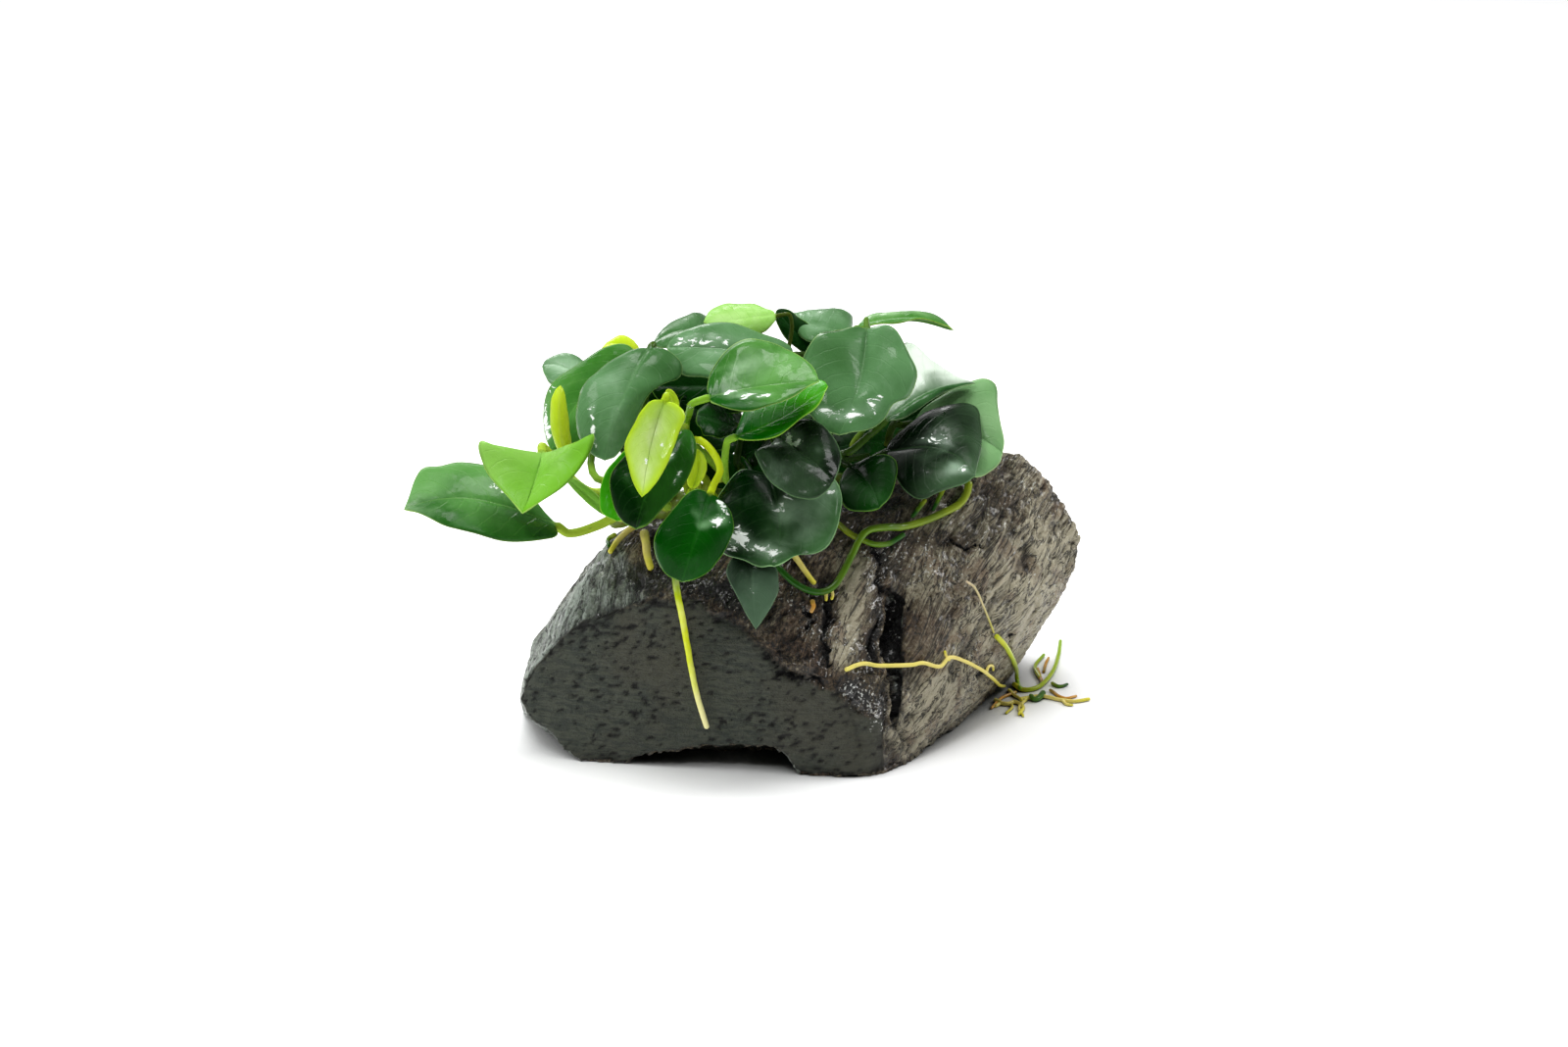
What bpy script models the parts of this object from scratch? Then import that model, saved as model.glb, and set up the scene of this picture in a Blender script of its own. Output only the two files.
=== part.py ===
"""A dwarf anubias grown on a short block of driftwood.

The wood rests on its flat underside at z = 0, with the long cut end towards -Y and +Z up.
Each leaf is one grown piece: its blade and its stalk. Points on the plant are sighted from
the front, 18 degrees above level: units across, units down and the depth behind the middle.
"""
import math

import bmesh
import bpy
from mathutils import Vector, noise
from mathutils.bvhtree import BVHTree

MM = 0.001
MERGE_M = 0.00002

# sighting of the plant
SIGHT_TILT_DEG = 18.0
SIGHT_DISTANCE_MM = 850.0
SIGHT_UNIT_MM = 0.225
SIGHT_MIDDLE = (800.0, 534.0)
SIGHT_HEIGHT_MM = 45.0
SIGHT_START_MM = -200.0

# leaves
BLADE_THICKNESS_MM = 0.55
BLADE_CUP = 0.10
BLADE_PROFILE = (0.45, 0.6)
BLADE_MIDDLE = 0.45
OUTLINE_SPOTS = 90
OUTLINE_DEPTH_REACH = 1.3
BLADE_INNER = 0.55
BLADE_START = 0.06
UPPER_SIDE = Vector((0, -0.5, 1))
FOOT_GAP_MM = 0.6
STALK_RADIUS_MM = 0.8
STALK_FOOT_RADIUS_MM = 1.15
STALK_RISE_MM = 2.5
STALK_END = 1.6
STALK_CROWDING = 1.35
NECK_MM = 3.0
NECK_DROP_MM = 0.4
RING_POINTS = 8
STALK_RINGS = 6
REAR_RINGS = 5
BLADE_STATIONS = (0.05, 0.18, 0.36, 0.56, 0.76, 0.92, 0.985)
REAR_STATIONS = (0.06, 0.24, 0.48, 0.74, 0.93, 0.985)

# creeping stem
RHIZOME_RADIUS_MM = 3.2
RHIZOME_STEPS = 14
RHIZOME_ENDS = (0.55, 0.92)
RHIZOME_LINE_MM = (
    (-38.0, -13.0, 50.2),
    (-27.0, -10.0, 52.2),
    (-14.0, -8.0, 54.6),
    (-2.0, -3.0, 55.6),
    (11.0, 2.0, 56.9),
    (25.0, 8.0, 58.6),
    (35.0, 12.0, 59.8),
)

# driftwood: corners of the block, from the underside up
WOOD_POINTS_MM = (
    (-61, 4, -3), (-59.3, -29.1, 13), (-57.3, -30.3, 9.2), (-50.2, -32.9, 3.6), (-41.3, -36, -3),
    (-11, -42, -3), (15, -45.5, -3), (23, -42, -3), (35, -20, -3), (53, 20, -3), (51, 38, -3),
    (16, 48, -3), (-22, 44, -3), (-52, 26, -3),
    (-57.9, -28.5, 17.5), (-51.6, -27.8, 26.6), (-44, -28.2, 31.8), (-33.2, -29.3, 36.8),
    (-24, -30.8, 38.5), (-14.1, -33.3, 35.7), (11, -41, 21.5), (22, -42, 11.6),
    (-60.5, -1, 6), (-57.6, -4, 17), (-50, -8, 31),
    (-40, -11, 42.5), (-37, -6, 46), (0, -25, 43), (22, -13, 50), (45, 6, 56), (54.6, 14, 58),
    (61.5, 14, 51), (70, 14, 37), (68, 12, 30), (60, 12, 15.4), (-14, -8, 50.6), (-30, 8, 47),
    (0, 10, 52), (30, 20, 54), (50, 30, 53), (-49.5, 18, 24), (-28, 34, 38), (12, 42, 42),
    (48, 42, 38), (63, 34, 28),
)
WOOD_CUTS = 2
WEATHER_SIZE_MM = 14.0
WEATHER_DEPTH_MM = 1.1
SAWN_FACE = Vector((-0.19, -0.96, 0.2))
SAWN_ALIGNED = 0.93
SAWN_WEATHER = 0.25

# crack down the shoulder: where it is sighted, then its half width and depth in millimetres
CRACK_LINE = (
    (899, 564, 0.35, 2.0),
    (901, 585, 0.5, 3.5),
    (905, 602, 0.8, 6.0),
    (913, 618, 1.9, 8.0),
    (912, 640, 1.9, 8.0),
    (907, 660, 2.4, 7.5),
    (912, 682, 1.8, 6.0),
    (915, 706, 1.2, 5.0),
    (912, 745, 0.6, 3.0),
    (910, 772, 0.4, 2.0),
)
CRACK_OUT = Vector((0.35, -0.94, 0))
CRACK_ACROSS = Vector((0.94, 0.35, 0))
CRACK_REACH_MM = 6.0
CRACK_FLOOR_MM = 0.3

# hollow under the front: its outline across and up, and how far it runs back
HOLLOW_OUTLINE_MM = (
    (-36.0, -4.0), (-34.5, 0.6), (-29.0, 3.1), (-19.0, 4.7), (-9.0, 5.7),
    (-2.5, 5.7), (1.0, 4.0), (2.8, 0.5), (3.0, -4.0),
)
HOLLOW_FRONT_MM = -60.0
HOLLOW_BACK_MM = -28.0

# roots
ROOT_LIFT_MM = 0.75
ROOT_FLOOR_GAP_MM = 0.02
ROOT_SIDES = 6
ROOT_TAPER = 0.25
ROOT_END = 0.7
ROOT_START_SIDE = Vector((0.3, 0.2, 1.0))

# colours: base colour and roughness
DARK = ((0.012, 0.060, 0.014), 0.25)
GREY = ((0.060, 0.140, 0.075), 0.30)
MID = ((0.070, 0.230, 0.040), 0.30)
LIGHT = ((0.220, 0.450, 0.060), 0.40)
YELLOW = ((0.480, 0.600, 0.030), 0.40)
WOOD = ((0.060, 0.052, 0.045), 0.65)
STEM = ((0.120, 0.180, 0.030), 0.50)
ROOT_GREEN = ((0.250, 0.360, 0.040), 0.45)
ROOT_PALE = ((0.620, 0.560, 0.160), 0.50)


def sighted(across, down, depth):
    """A point in millimetres from its place in the front sighting and its depth."""
    tilt = math.radians(SIGHT_TILT_DEG)
    eye = Vector((0, -SIGHT_DISTANCE_MM * math.cos(tilt),
                  SIGHT_HEIGHT_MM + SIGHT_DISTANCE_MM * math.sin(tilt)))
    ray = Vector((0, math.cos(tilt), -math.sin(tilt)))
    spread = SIGHT_UNIT_MM / SIGHT_DISTANCE_MM
    ray += Vector((1, 0, 0)) * (across - SIGHT_MIDDLE[0]) * spread
    ray += Vector((0, math.sin(tilt), math.cos(tilt))) * (SIGHT_MIDDLE[1] - down) * spread
    return eye + ray * ((depth - eye.y) / ray.y)


def leaf_row(name, tone, points, crown, stalk, shape):
    """One leaf: the five points of its blade, its seat on the stem and its stalk's way up."""
    row = {"name": name, "tone": tone, "crown": crown, "stalk": stalk, "cup": BLADE_CUP,
           "a": BLADE_PROFILE, "b": BLADE_PROFILE}
    row.update(zip(("base", "mid", "tip", "edge_a", "edge_b"), points))
    row.update(shape)
    return row


def leaf(name, tone, base, mid, tip, edge_a, edge_b, crown, stalk=(), **shape):
    """A leaf that shows in front, with its points as they are sighted."""
    places = (base, mid, tip, edge_a, edge_b)
    row = leaf_row(name, tone, [sighted(*point) for point in places], crown,
                   [sighted(*point) for point in stalk], shape)
    row["places"] = places
    return row


def back_leaf(name, tone, base, mid, tip, edge_a, edge_b, crown, stalk=()):
    """A leaf of the rear, with its points given straight in millimetres."""
    points = [Vector(point) for point in (base, mid, tip, edge_a, edge_b)]
    shape = {"rings": REAR_RINGS, "stations": REAR_STATIONS}
    return leaf_row(name, tone, points, crown, [Vector(point) for point in stalk], shape)


LEAVES = [
    leaf("leaf_far_left", DARK, base=(569, 537, -20), mid=(490, 511, -20), tip=(412, 520, -24),
         edge_a=(497, 550, -31), edge_b=(480, 472, -9), crown=(0.1, -60), stalk=[(610, 536, -19)],
         out_a=[(569, 545), (562, 550), (540, 553), (515, 551), (490, 547), (460, 538), (432, 526)],
         out_b=[(561, 527), (545, 508), (520, 486), (491, 473), (468, 470), (448, 476), (432, 478),
                (424, 487), (418, 503)]),
    leaf("leaf_light_left", LIGHT, base=(553, 462, -15), mid=(548, 487, -24), tip=(533, 524, -36),
         edge_a=(488, 450, -22), edge_b=(606, 442, -29), crown=(0.3, -25), stalk=[(602, 503, -15),
                (575, 482, -12)],
         out_a=[(530, 460), (508, 451), (489, 450), (490, 466), (499, 485), (512, 501), (524, 514)],
         out_b=[(575, 453), (605, 442), (604, 459), (594, 476), (578, 493), (557, 509), (545, 517)]),
    leaf("leaf_left_front", GREY, base=(664, 354, -10), mid=(638, 402, -22), tip=(617, 470, -26),
         edge_a=(588, 415, -14), edge_b=(697, 383, -16), crown=(0.62, -25), stalk=[(640, 480, -12),
                (660, 400, -3)],
         out_a=[(645, 356), (626, 366), (610, 379), (598, 388), (590, 404), (588, 425), (591, 446),
                (603, 463)],
         out_b=[(682, 358), (696, 371), (694, 384), (676, 393), (661, 404), (650, 425), (640, 448),
                (629, 465)]),
    leaf("leaf_left_back", MID, base=(655, 365, 12), mid=(610, 388, 8), tip=(562, 460, -2),
         edge_a=(576, 374, 16), edge_b=(640, 430, 2), crown=(0.45, 25), stalk=[(606, 485, -4),
                (612, 440, 12), (640, 392, 20)],
         out_a=[(640, 352), (620, 354), (600, 363), (580, 377), (563, 393), (554, 415), (555, 440)],
         out_b=[(655, 385), (645, 405), (628, 428), (605, 446), (582, 458)]),
    leaf("leaf_spear_left", YELLOW, base=(575, 468, -9), mid=(571, 430, -10), tip=(572, 393, -6),
         edge_a=(561, 425, -7), edge_b=(581, 437, -7), crown=(0.05, 25), stalk=[(600, 500, -8)],
         out_a=[(567, 455), (562, 435), (562, 412), (567, 398)],
         out_b=[(583, 455), (581, 435), (578, 412), (575, 398)]),
    leaf("leaf_grey_back", GREY, base=(606, 395, 24), mid=(578, 376, 30), tip=(553, 374, 32),
         edge_a=(575, 361, 36), edge_b=(575, 395, 22), crown=(0.8, 60), stalk=[(626, 440, 18)],
         out_a=[(600, 372), (590, 364), (572, 361), (558, 366)],
         out_b=[(596, 398), (580, 396), (565, 392), (556, 384)]),
    leaf("leaf_yellow_behind", YELLOW, base=(652, 362, 24), mid=(632, 352, 22), tip=(614, 355, 20),
         edge_a=(636, 344, 30), edge_b=(630, 363, 18), crown=(1.2, 50), stalk=[(658, 440, 14),
                (665, 380, 24)],
         out_a=[(648, 350), (637, 344), (625, 346)],
         out_b=[(645, 362), (632, 364), (620, 361)]),
    leaf("leaf_yellow_front", YELLOW, base=(678, 409, -40), mid=(666, 448, -44), tip=(655, 507, -54),
         edge_a=(638, 452, -50), edge_b=(699, 424, -46), crown=(1.15, -20), stalk=[(676, 455, -18),
                (679, 421, -27)], cup=0.16, neck=4.0,
         out_a=[(666, 408), (655, 418), (646, 434), (638, 452), (639, 470), (644, 487), (650, 499)],
         out_b=[(690, 412), (699, 423), (694, 438), (689, 455), (680, 474), (671, 491), (663, 501)]),
    leaf("leaf_dark_front", DARK, base=(696, 438, -29), mid=(669, 482, -41), tip=(649, 540, -46),
         edge_a=(622, 495, -38), edge_b=(712, 464, -38), crown=(1.45, -65), stalk=[(694, 470, -23)],
         out_a=[(680, 437), (658, 447), (638, 463), (626, 480), (622, 498), (626, 518), (636, 533)],
         out_b=[(706, 440), (711, 456), (709, 472), (700, 490), (686, 510), (670, 526), (660, 535)]),
    leaf("leaf_light_behind", LIGHT, base=(656, 456, -27), mid=(638, 492, -32), tip=(630, 532, -38),
         edge_a=(611, 508, -32), edge_b=(658, 515, -34), crown=(1.0, -70), stalk=[(656, 480, -14)],
         neck=4.2,
         out_a=[(640, 458), (625, 472), (615, 490), (611, 508), (615, 524)],
         out_b=[(662, 470), (664, 490), (658, 512), (645, 527)]),
    leaf("leaf_sheath", YELLOW, base=(706, 500, -24), mid=(712, 480, -25), tip=(712, 458, -27),
         edge_a=(704, 480, -26), edge_b=(720, 478, -26), crown=(1.8, -75),
         out_a=[(701, 492), (704, 475), (708, 462)],
         out_b=[(713, 495), (721, 480), (719, 465)]),
    leaf("leaf_round_front", DARK, base=(725, 503, -42), mid=(711, 545, -52), tip=(696, 594, -54),
         edge_a=(666, 555, -50), edge_b=(748, 543, -48), crown=(1.6, -20), stalk=[(703, 482, -17),
                (707, 451, -21), (722, 455, -30), (735, 478, -36)], rings=10,
         out_a=[(712, 499), (700, 505), (689, 516), (679, 528), (670, 543), (667, 560), (671, 573),
                (680, 586)],
         out_b=[(738, 511), (745, 522), (748, 538), (745, 552), (738, 565), (731, 574), (722, 584),
                (709, 591)]),
    leaf("leaf_light_top", MID, base=(722, 406, -38), mid=(772, 396, -36), tip=(836, 389, -34),
         edge_a=(772, 345, -24), edge_b=(760, 419, -44), crown=(2.0, -5), stalk=[(702, 445, -14),
                (704, 418, -24)],
         out_a=[(722, 392), (726, 377), (741, 358), (761, 347), (784, 347), (808, 359), (830, 375)],
         out_b=[(728, 412), (745, 418), (770, 418), (790, 413), (811, 403), (828, 394)]),
    leaf("leaf_inner", DARK, base=(750, 434, -10), mid=(729, 428, -16), tip=(711, 424, -20),
         edge_a=(730, 413, -8), edge_b=(726, 446, -24), crown=(2.35, -10), stalk=[(752, 470, -10)]),
    leaf("leaf_green_under", MID, base=(750, 446, -34), mid=(795, 428, -34), tip=(845, 394, -26),
         edge_a=(800, 442, -38), edge_b=(775, 397, -18), crown=(2.1, -55), stalk=[(740, 486, -24)],
         neck=2.0,
         out_a=[(762, 450), (782, 448), (800, 441), (820, 426), (838, 410)],
         out_b=[(752, 436), (765, 415), (790, 399), (815, 388), (837, 386)]),
    leaf("leaf_dark_centre", DARK, base=(795, 446, -26), mid=(822, 466, -34), tip=(851, 491, -42),
         edge_a=(782, 487, -40), edge_b=(846, 437, -28), crown=(3.6, -30), stalk=[(802, 468, -10)],
         out_a=[(784, 454), (770, 460), (774, 473), (781, 485), (794, 496), (810, 507), (828, 511),
                (842, 502)],
         out_b=[(802, 437), (815, 429), (828, 427), (841, 435), (852, 448), (858, 463), (857, 478)]),
    leaf("leaf_big_front", DARK, base=(783, 482, -22), mid=(795, 530, -34), tip=(790, 578, -46),
         edge_a=(730, 528, -34), edge_b=(862, 512, -30), crown=(2.75, -45),
         out_a=[(768, 479), (748, 487), (735, 500), (729, 522), (731, 548), (742, 568), (765, 574)],
         out_b=[(805, 480), (833, 483), (853, 490), (859, 506), (857, 530), (849, 551), (832, 563),
                (811, 571)]),
    leaf("leaf_big_right", GREY, base=(884, 334, 4), mid=(878, 385, -9), tip=(856, 444, -20),
         edge_a=(820, 372, -8), edge_b=(937, 386, -8), crown=(4.35, -10), stalk=[(886, 430, 6),
                (892, 370, 12)],
         out_a=[(860, 335), (838, 341), (824, 354), (817, 372), (818, 395), (824, 418), (837, 436)],
         out_b=[(905, 333), (919, 343), (929, 362), (936, 384), (929, 402), (912, 413), (900, 430),
                (880, 440)]),
    leaf("leaf_sheen_right", GREY, base=(903, 430, -4), mid=(948, 400, 5), tip=(995, 391, 10),
         edge_a=(933, 350, 19), edge_b=(950, 413, 2), crown=(3.85, -20), stalk=[(864, 462, -8),
                (886, 445, -6)],
         out_a=[(905, 405), (915, 370), (925, 348), (940, 362), (955, 373), (972, 383)],
         out_b=[(917, 429), (932, 421), (948, 411), (962, 401), (978, 396)]),
    leaf("leaf_far_right_front", DARK, base=(903, 463, -4), mid=(955, 458, -8), tip=(995, 486, -18),
         edge_a=(972, 407, 10), edge_b=(938, 509, -20), crown=(5.0, -50),
         out_a=[(906, 451), (925, 436), (950, 418), (975, 410), (994, 413), (1001, 433), (1001, 460)],
         out_b=[(911, 482), (924, 500), (941, 509), (958, 503), (975, 496), (987, 491)]),
    leaf("leaf_far_right_back", MID, base=(930, 432, 12), mid=(975, 437, 6), tip=(1023, 463, 0),
         edge_a=(1000, 384, 15), edge_b=(985, 488, -7), crown=(4.95, -12), stalk=[(914, 430, 9)],
         out_a=[(948, 412), (970, 397), (990, 390), (1007, 386), (1016, 392), (1018, 412), (1022, 435),
                (1025, 450)],
         out_b=[(945, 465), (970, 483), (997, 486), (1012, 480), (1021, 472)]),
    leaf("leaf_small_right", DARK, base=(867, 476, -14), mid=(887, 495, -20), tip=(897, 519, -25),
         edge_a=(912, 470, -15), edge_b=(864, 518, -26), crown=(4.45, -55),
         out_a=[(885, 466), (905, 465), (915, 471), (914, 490), (909, 505)],
         out_b=[(858, 485), (856, 502), (863, 517), (880, 523)]),
    leaf("leaf_low_front", DARK, base=(766, 568, -38), mid=(768, 600, -46), tip=(771, 642, -50),
         edge_a=(741, 592, -43), edge_b=(798, 595, -43), crown=(2.55, -85), stalk=[(762, 535, -25)],
         out_a=[(750, 569), (741, 580), (744, 593), (752, 608), (761, 626)],
         out_b=[(782, 571), (793, 584), (795, 600), (788, 617), (779, 632)]),
    leaf("leaf_yellow_top", YELLOW, base=(793, 322, 11), mid=(755, 326, 12), tip=(718, 329, 12),
         edge_a=(744, 308, 26), edge_b=(768, 341, 9), crown=(2.9, 30), stalk=[(790, 420, 8),
                (805, 354, 12)],
         out_a=[(785, 316), (772, 311), (755, 311), (741, 309), (729, 315), (721, 322)],
         out_b=[(790, 330), (782, 338), (768, 341), (745, 338), (728, 334)]),
    leaf("leaf_dark_top_left", DARK, base=(722, 336, 18), mid=(695, 338, 14), tip=(666, 352, 8),
         edge_a=(695, 323, 30), edge_b=(690, 358, 6), crown=(1.9, 40), stalk=[(722, 430, 12),
                (732, 360, 20)],
         out_a=[(718, 322), (700, 325), (685, 331), (672, 341)],
         out_b=[(715, 350), (695, 358), (678, 356)]),
    leaf("leaf_dark_top_mid", DARK, base=(812, 362, 2), mid=(735, 357, -2), tip=(680, 355, -1),
         edge_a=(730, 329, 6), edge_b=(725, 392, -14), crown=(3.35, 0), stalk=[(812, 430, 0),
                (822, 385, 6)],
         out_a=[(806, 354), (785, 342), (760, 333), (735, 329), (712, 331), (693, 341), (684, 349)],
         out_b=[(805, 378), (780, 390), (750, 392), (720, 386), (698, 382), (688, 368)]),
    leaf("leaf_grey_top", GREY, base=(868, 341, 18), mid=(832, 332, 17), tip=(800, 321, 22),
         edge_a=(840, 320, 32), edge_b=(826, 352, 10), crown=(3.9, 30), stalk=[(858, 430, 12),
                (872, 370, 20)],
         out_a=[(866, 321), (840, 320), (818, 321)],
         out_b=[(862, 337), (845, 340), (828, 350), (813, 337), (804, 327)]),
    leaf("leaf_spike_top", MID, base=(874, 334, 27), mid=(915, 325, 26), tip=(973, 337, 28),
         edge_a=(915, 332, 22), edge_b=(915, 319, 31), crown=(4.62, 45), stalk=[(900, 430, 18),
                (882, 360, 28)],
         out_a=[(885, 333), (905, 330), (925, 328), (945, 327), (962, 330)],
         out_b=[(885, 322), (905, 320), (922, 318), (945, 320), (962, 326)]),
    back_leaf("leaf_rear_left", DARK, base=(-39, 23, 61), mid=(-44, 34, 62), tip=(-49, 46, 55),
              edge_a=(-33, 39, 59), edge_b=(-55, 30, 56), crown=(0.3, 80), stalk=[(-36, 10, 57)]),
    back_leaf("leaf_rear_left_low", MID, base=(-24, 17, 60), mid=(-28, 29, 58), tip=(-32, 43, 50),
              edge_a=(-16, 32, 55), edge_b=(-38, 26, 54), crown=(1.05, 85)),
    back_leaf("leaf_rear_top_left", GREY, base=(-11, 25, 81), mid=(-14, 35, 80), tip=(-16, 47, 71),
              edge_a=(-4, 34, 77), edge_b=(-28, 34, 76), crown=(2.3, 55), stalk=[(-12, 14, 68)]),
    back_leaf("leaf_rear_middle", DARK, base=(2, 18, 64), mid=(2, 32, 62), tip=(1, 46, 54),
              edge_a=(13, 32, 59), edge_b=(-10, 32, 59), crown=(2.9, 85)),
    back_leaf("leaf_rear_top_right", MID, base=(14, 30, 76), mid=(15, 41, 74), tip=(17, 52, 66),
              edge_a=(26, 38, 70), edge_b=(3, 41, 71), crown=(4.25, 70), stalk=[(14, 20, 66)]),
    back_leaf("leaf_rear_right", GREY, base=(38, 26, 68), mid=(41, 37, 68), tip=(43, 48, 60),
              edge_a=(50, 33, 65), edge_b=(31, 41, 66), crown=(5.4, 60)),
    back_leaf("leaf_rear_right_low", DARK, base=(24, 26, 60), mid=(26, 38, 58), tip=(28, 51, 50),
              edge_a=(37, 36, 55), edge_b=(16, 41, 55), crown=(4.85, 85)),
]


ROOTS = [
    {"name": "root_front_hanging", "tone": ROOT_GREEN, "radius": 0.95, "line": [
        ("wood", 694, 562, 0.2), ("wood", 690, 580, 0.7), ("wood", 689, 594, 1.1),
        ("wood", 690, 607, 1.0), ("wood", 692, 624, 0.1), ("wood", 698, 650),
        ("wood", 705, 682), ("wood", 713, 712), ("wood", 722, 740)]},
    {"name": "root_left_short", "tone": ROOT_PALE, "radius": 0.8, "steps_a_span": 2, "line": [
        ("wood", 648, 541), ("wood", 640, 547), ("wood", 631, 556), ("wood", 624, 566)]},
    {"name": "root_left_thick", "tone": ROOT_PALE, "radius": 1.05, "steps_a_span": 2, "line": [
        ("wood", 659, 549), ("wood", 661, 559), ("wood", 662, 571), ("wood", 665, 583)]},
    {"name": "root_right_loop", "tone": ROOT_GREEN, "radius": 0.92, "line": [
        ("wood", 986, 496), ("wood", 983, 507), ("wood", 975, 517), ("wood", 960, 525), ("wood", 940, 533),
        ("wood", 918, 539), ("wood", 898, 541, 1.2), ("wood", 881, 550, 2.2), ("wood", 868, 570, 0.6),
        ("wood", 858, 589), ("wood", 848, 601), ("wood", 835, 606), ("wood", 821, 603), ("wood", 808, 595),
        ("wood", 797, 584), ("wood", 789, 572)]},
    {"name": "root_right_second", "tone": ROOT_GREEN, "radius": 0.75, "line": [
        ("wood", 857, 539), ("wood", 867, 547, 0.2), ("wood", 879, 553, 0.2), ("wood", 891, 557),
        ("wood", 904, 556), ("wood", 913, 551), ("wood", 919, 547)]},
    {"name": "root_pale_straight", "tone": ROOT_PALE, "radius": 0.75, "steps_a_span": 2, "line": [
        ("wood", 808, 566), ("wood", 815, 576), ("wood", 822, 586), ("wood", 829, 596)]},
    {"name": "root_upper_left", "tone": ROOT_GREEN, "radius": 0.6, "steps_a_span": 2, "line": [
        ("wood", 941, 512), ("wood", 935, 520), ("wood", 929, 528)]},
    {"name": "root_upper_right", "tone": ROOT_GREEN, "radius": 0.6, "steps_a_span": 2, "line": [
        ("wood", 960, 500), ("wood", 955, 511), ("wood", 950, 521)]},
    {"name": "root_side_long", "tone": ROOT_PALE, "radius": 0.5, "line": [
        ("wood", 862, 684), ("wood", 878, 678), ("wood", 894, 680), ("wood", 928, 679), ("wood", 940, 677),
        ("wood", 957, 680), ("wood", 966, 671), ("wood", 980, 673), ("wood", 1000, 683)]},
    {"name": "root_floor_main", "tone": ROOT_GREEN, "radius": 0.6, "line": [
        ("floor", 1035, 698), ("floor", 1043, 703), ("floor", 1052, 703), ("floor", 1062, 699),
        ("floor", 1074, 685), ("floor", 1080, 668), ("floor", 1082, 654)]},
    {"name": "root_floor_fork", "tone": ROOT_GREEN, "radius": 0.5, "steps_a_span": 2, "line": [
        ("floor", 1061, 691), ("floor", 1056, 680), ("floor", 1065, 668)]},
    {"name": "root_floor_side", "tone": ROOT_PALE, "radius": 0.5, "line": [
        ("floor", 1042, 713), ("floor", 1062, 710), ("floor", 1084, 714), ("floor", 1098, 715),
        ("floor", 1111, 713)]},
    {"name": "root_floor_near", "tone": ROOT_PALE, "radius": 0.5, "line": [
        ("floor", 1016, 714), ("floor", 1026, 718), ("floor", 1036, 716), ("floor", 1044, 721),
        ("floor", 1040, 728)]},
    {"name": "root_side_hair", "tone": ROOT_PALE, "radius": 0.45, "line": [
        ("wood", 985, 594), ("wood", 993, 600), ("wood", 1003, 622), ("wood", 1012, 645)]},
]


def line_at(points, place):
    """A point on a smooth line through the given points; place counts in points."""
    last = len(points) - 1
    index = max(0, min(int(math.floor(place)), last - 1))
    part = place - index
    here, there = points[index], points[index + 1]
    span = (there - here).length
    before = points[index - 1] if index > 0 else here * 2 - there
    after = points[index + 2] if index + 2 <= last else there * 2 - here
    leave = (there - before).normalized() * span
    arrive = (after - here).normalized() * span
    square, cube = part ** 2, part ** 3
    return (here * (2 * cube - 3 * square + 1) + leave * (cube - 2 * square + part)
            + there * (3 * square - 2 * cube) + arrive * (cube - square))


def midrib(row, s):
    """Middle line of the blade from its base at 0 to its tip at 1."""
    at = BLADE_MIDDLE
    k_base = (s - at) * (s - 1) / at
    k_mid = s * (s - 1) / (at * (at - 1))
    k_tip = s * (s - at) / (1 - at)
    return row["base"] * k_base + row["mid"] * k_mid + row["tip"] * k_tip


def half_width(profile, s):
    """Share of the full half width at s, and the place of the widest point."""
    rise, fall = profile
    widest = rise / (rise + fall)
    return (s / widest) ** rise * ((1 - s) / (1 - widest)) ** fall, widest


def through_three(base, mid, tip, s):
    """A value that goes from base at 0 through mid to tip at 1."""
    at = BLADE_MIDDLE
    return (base * (s - at) * (s - 1) / at + mid * s * (s - 1) / (at * (at - 1))
            + tip * s * (s - at) / (1 - at))


def outline_points(row, key):
    """Corners of one edge of a blade from base to tip; their depths follow its widest point."""
    base, mid, tip = row["places"][:3]
    edge = row["places"][3 if key == "a" else 4]
    flat = [base[:2]] + row["out_" + key] + [tip[:2]]
    steps = [math.dist(one, two) for one, two in zip(flat, flat[1:])]

    def rib(s):
        return [through_three(base[axis], mid[axis], tip[axis], s) for axis in range(3)]

    widest = half_width(row[key], 0.5)[1]
    middle = rib(widest)
    wide = max(math.dist(middle[:2], edge[:2]), 1.0)
    points = [row["base"]]
    for index, place in enumerate(row["out_" + key]):
        here = rib(sum(steps[:index + 1]) / sum(steps))
        out = min(OUTLINE_DEPTH_REACH, math.dist(here[:2], place) / wide)
        points.append(sighted(*place, here[2] + out * (edge[2] - middle[2])))
    return points + [row["tip"]]


def even_spots(points, count):
    """Spots at even distances along a smooth line through points."""
    fine = [line_at(points, (len(points) - 1) * step / (12 * count)) for step in range(12 * count + 1)]
    lengths = [0.0]
    for one, two in zip(fine, fine[1:]):
        lengths.append(lengths[-1] + (two - one).length)
    spots, index = [], 0
    for step in range(count + 1):
        goal = lengths[-1] * step / count
        while index < len(fine) - 2 and lengths[index + 1] < goal:
            index += 1
        span = lengths[index + 1] - lengths[index]
        spots.append(fine[index].lerp(fine[index + 1], (goal - lengths[index]) / span))
    return spots


def edge_way(row, key, s):
    """From the middle line to one edge of the blade at s, to its widest point, and their ratio."""
    widest = half_width(row[key], s)[1]
    full = row["edge_" + key] - midrib(row, widest)
    if "out_" + key not in row:
        share = half_width(row[key], s)[0]
        return full * share, full, share
    if "spots_" + key not in row:
        row["spots_" + key] = even_spots(outline_points(row, key), OUTLINE_SPOTS)
    spots = row["spots_" + key]
    place = s * OUTLINE_SPOTS
    index = min(int(place), OUTLINE_SPOTS - 1)
    way = spots[index].lerp(spots[index + 1], place - index) - midrib(row, s)
    return way, full, min(1.0, way.length / full.length)


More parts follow.
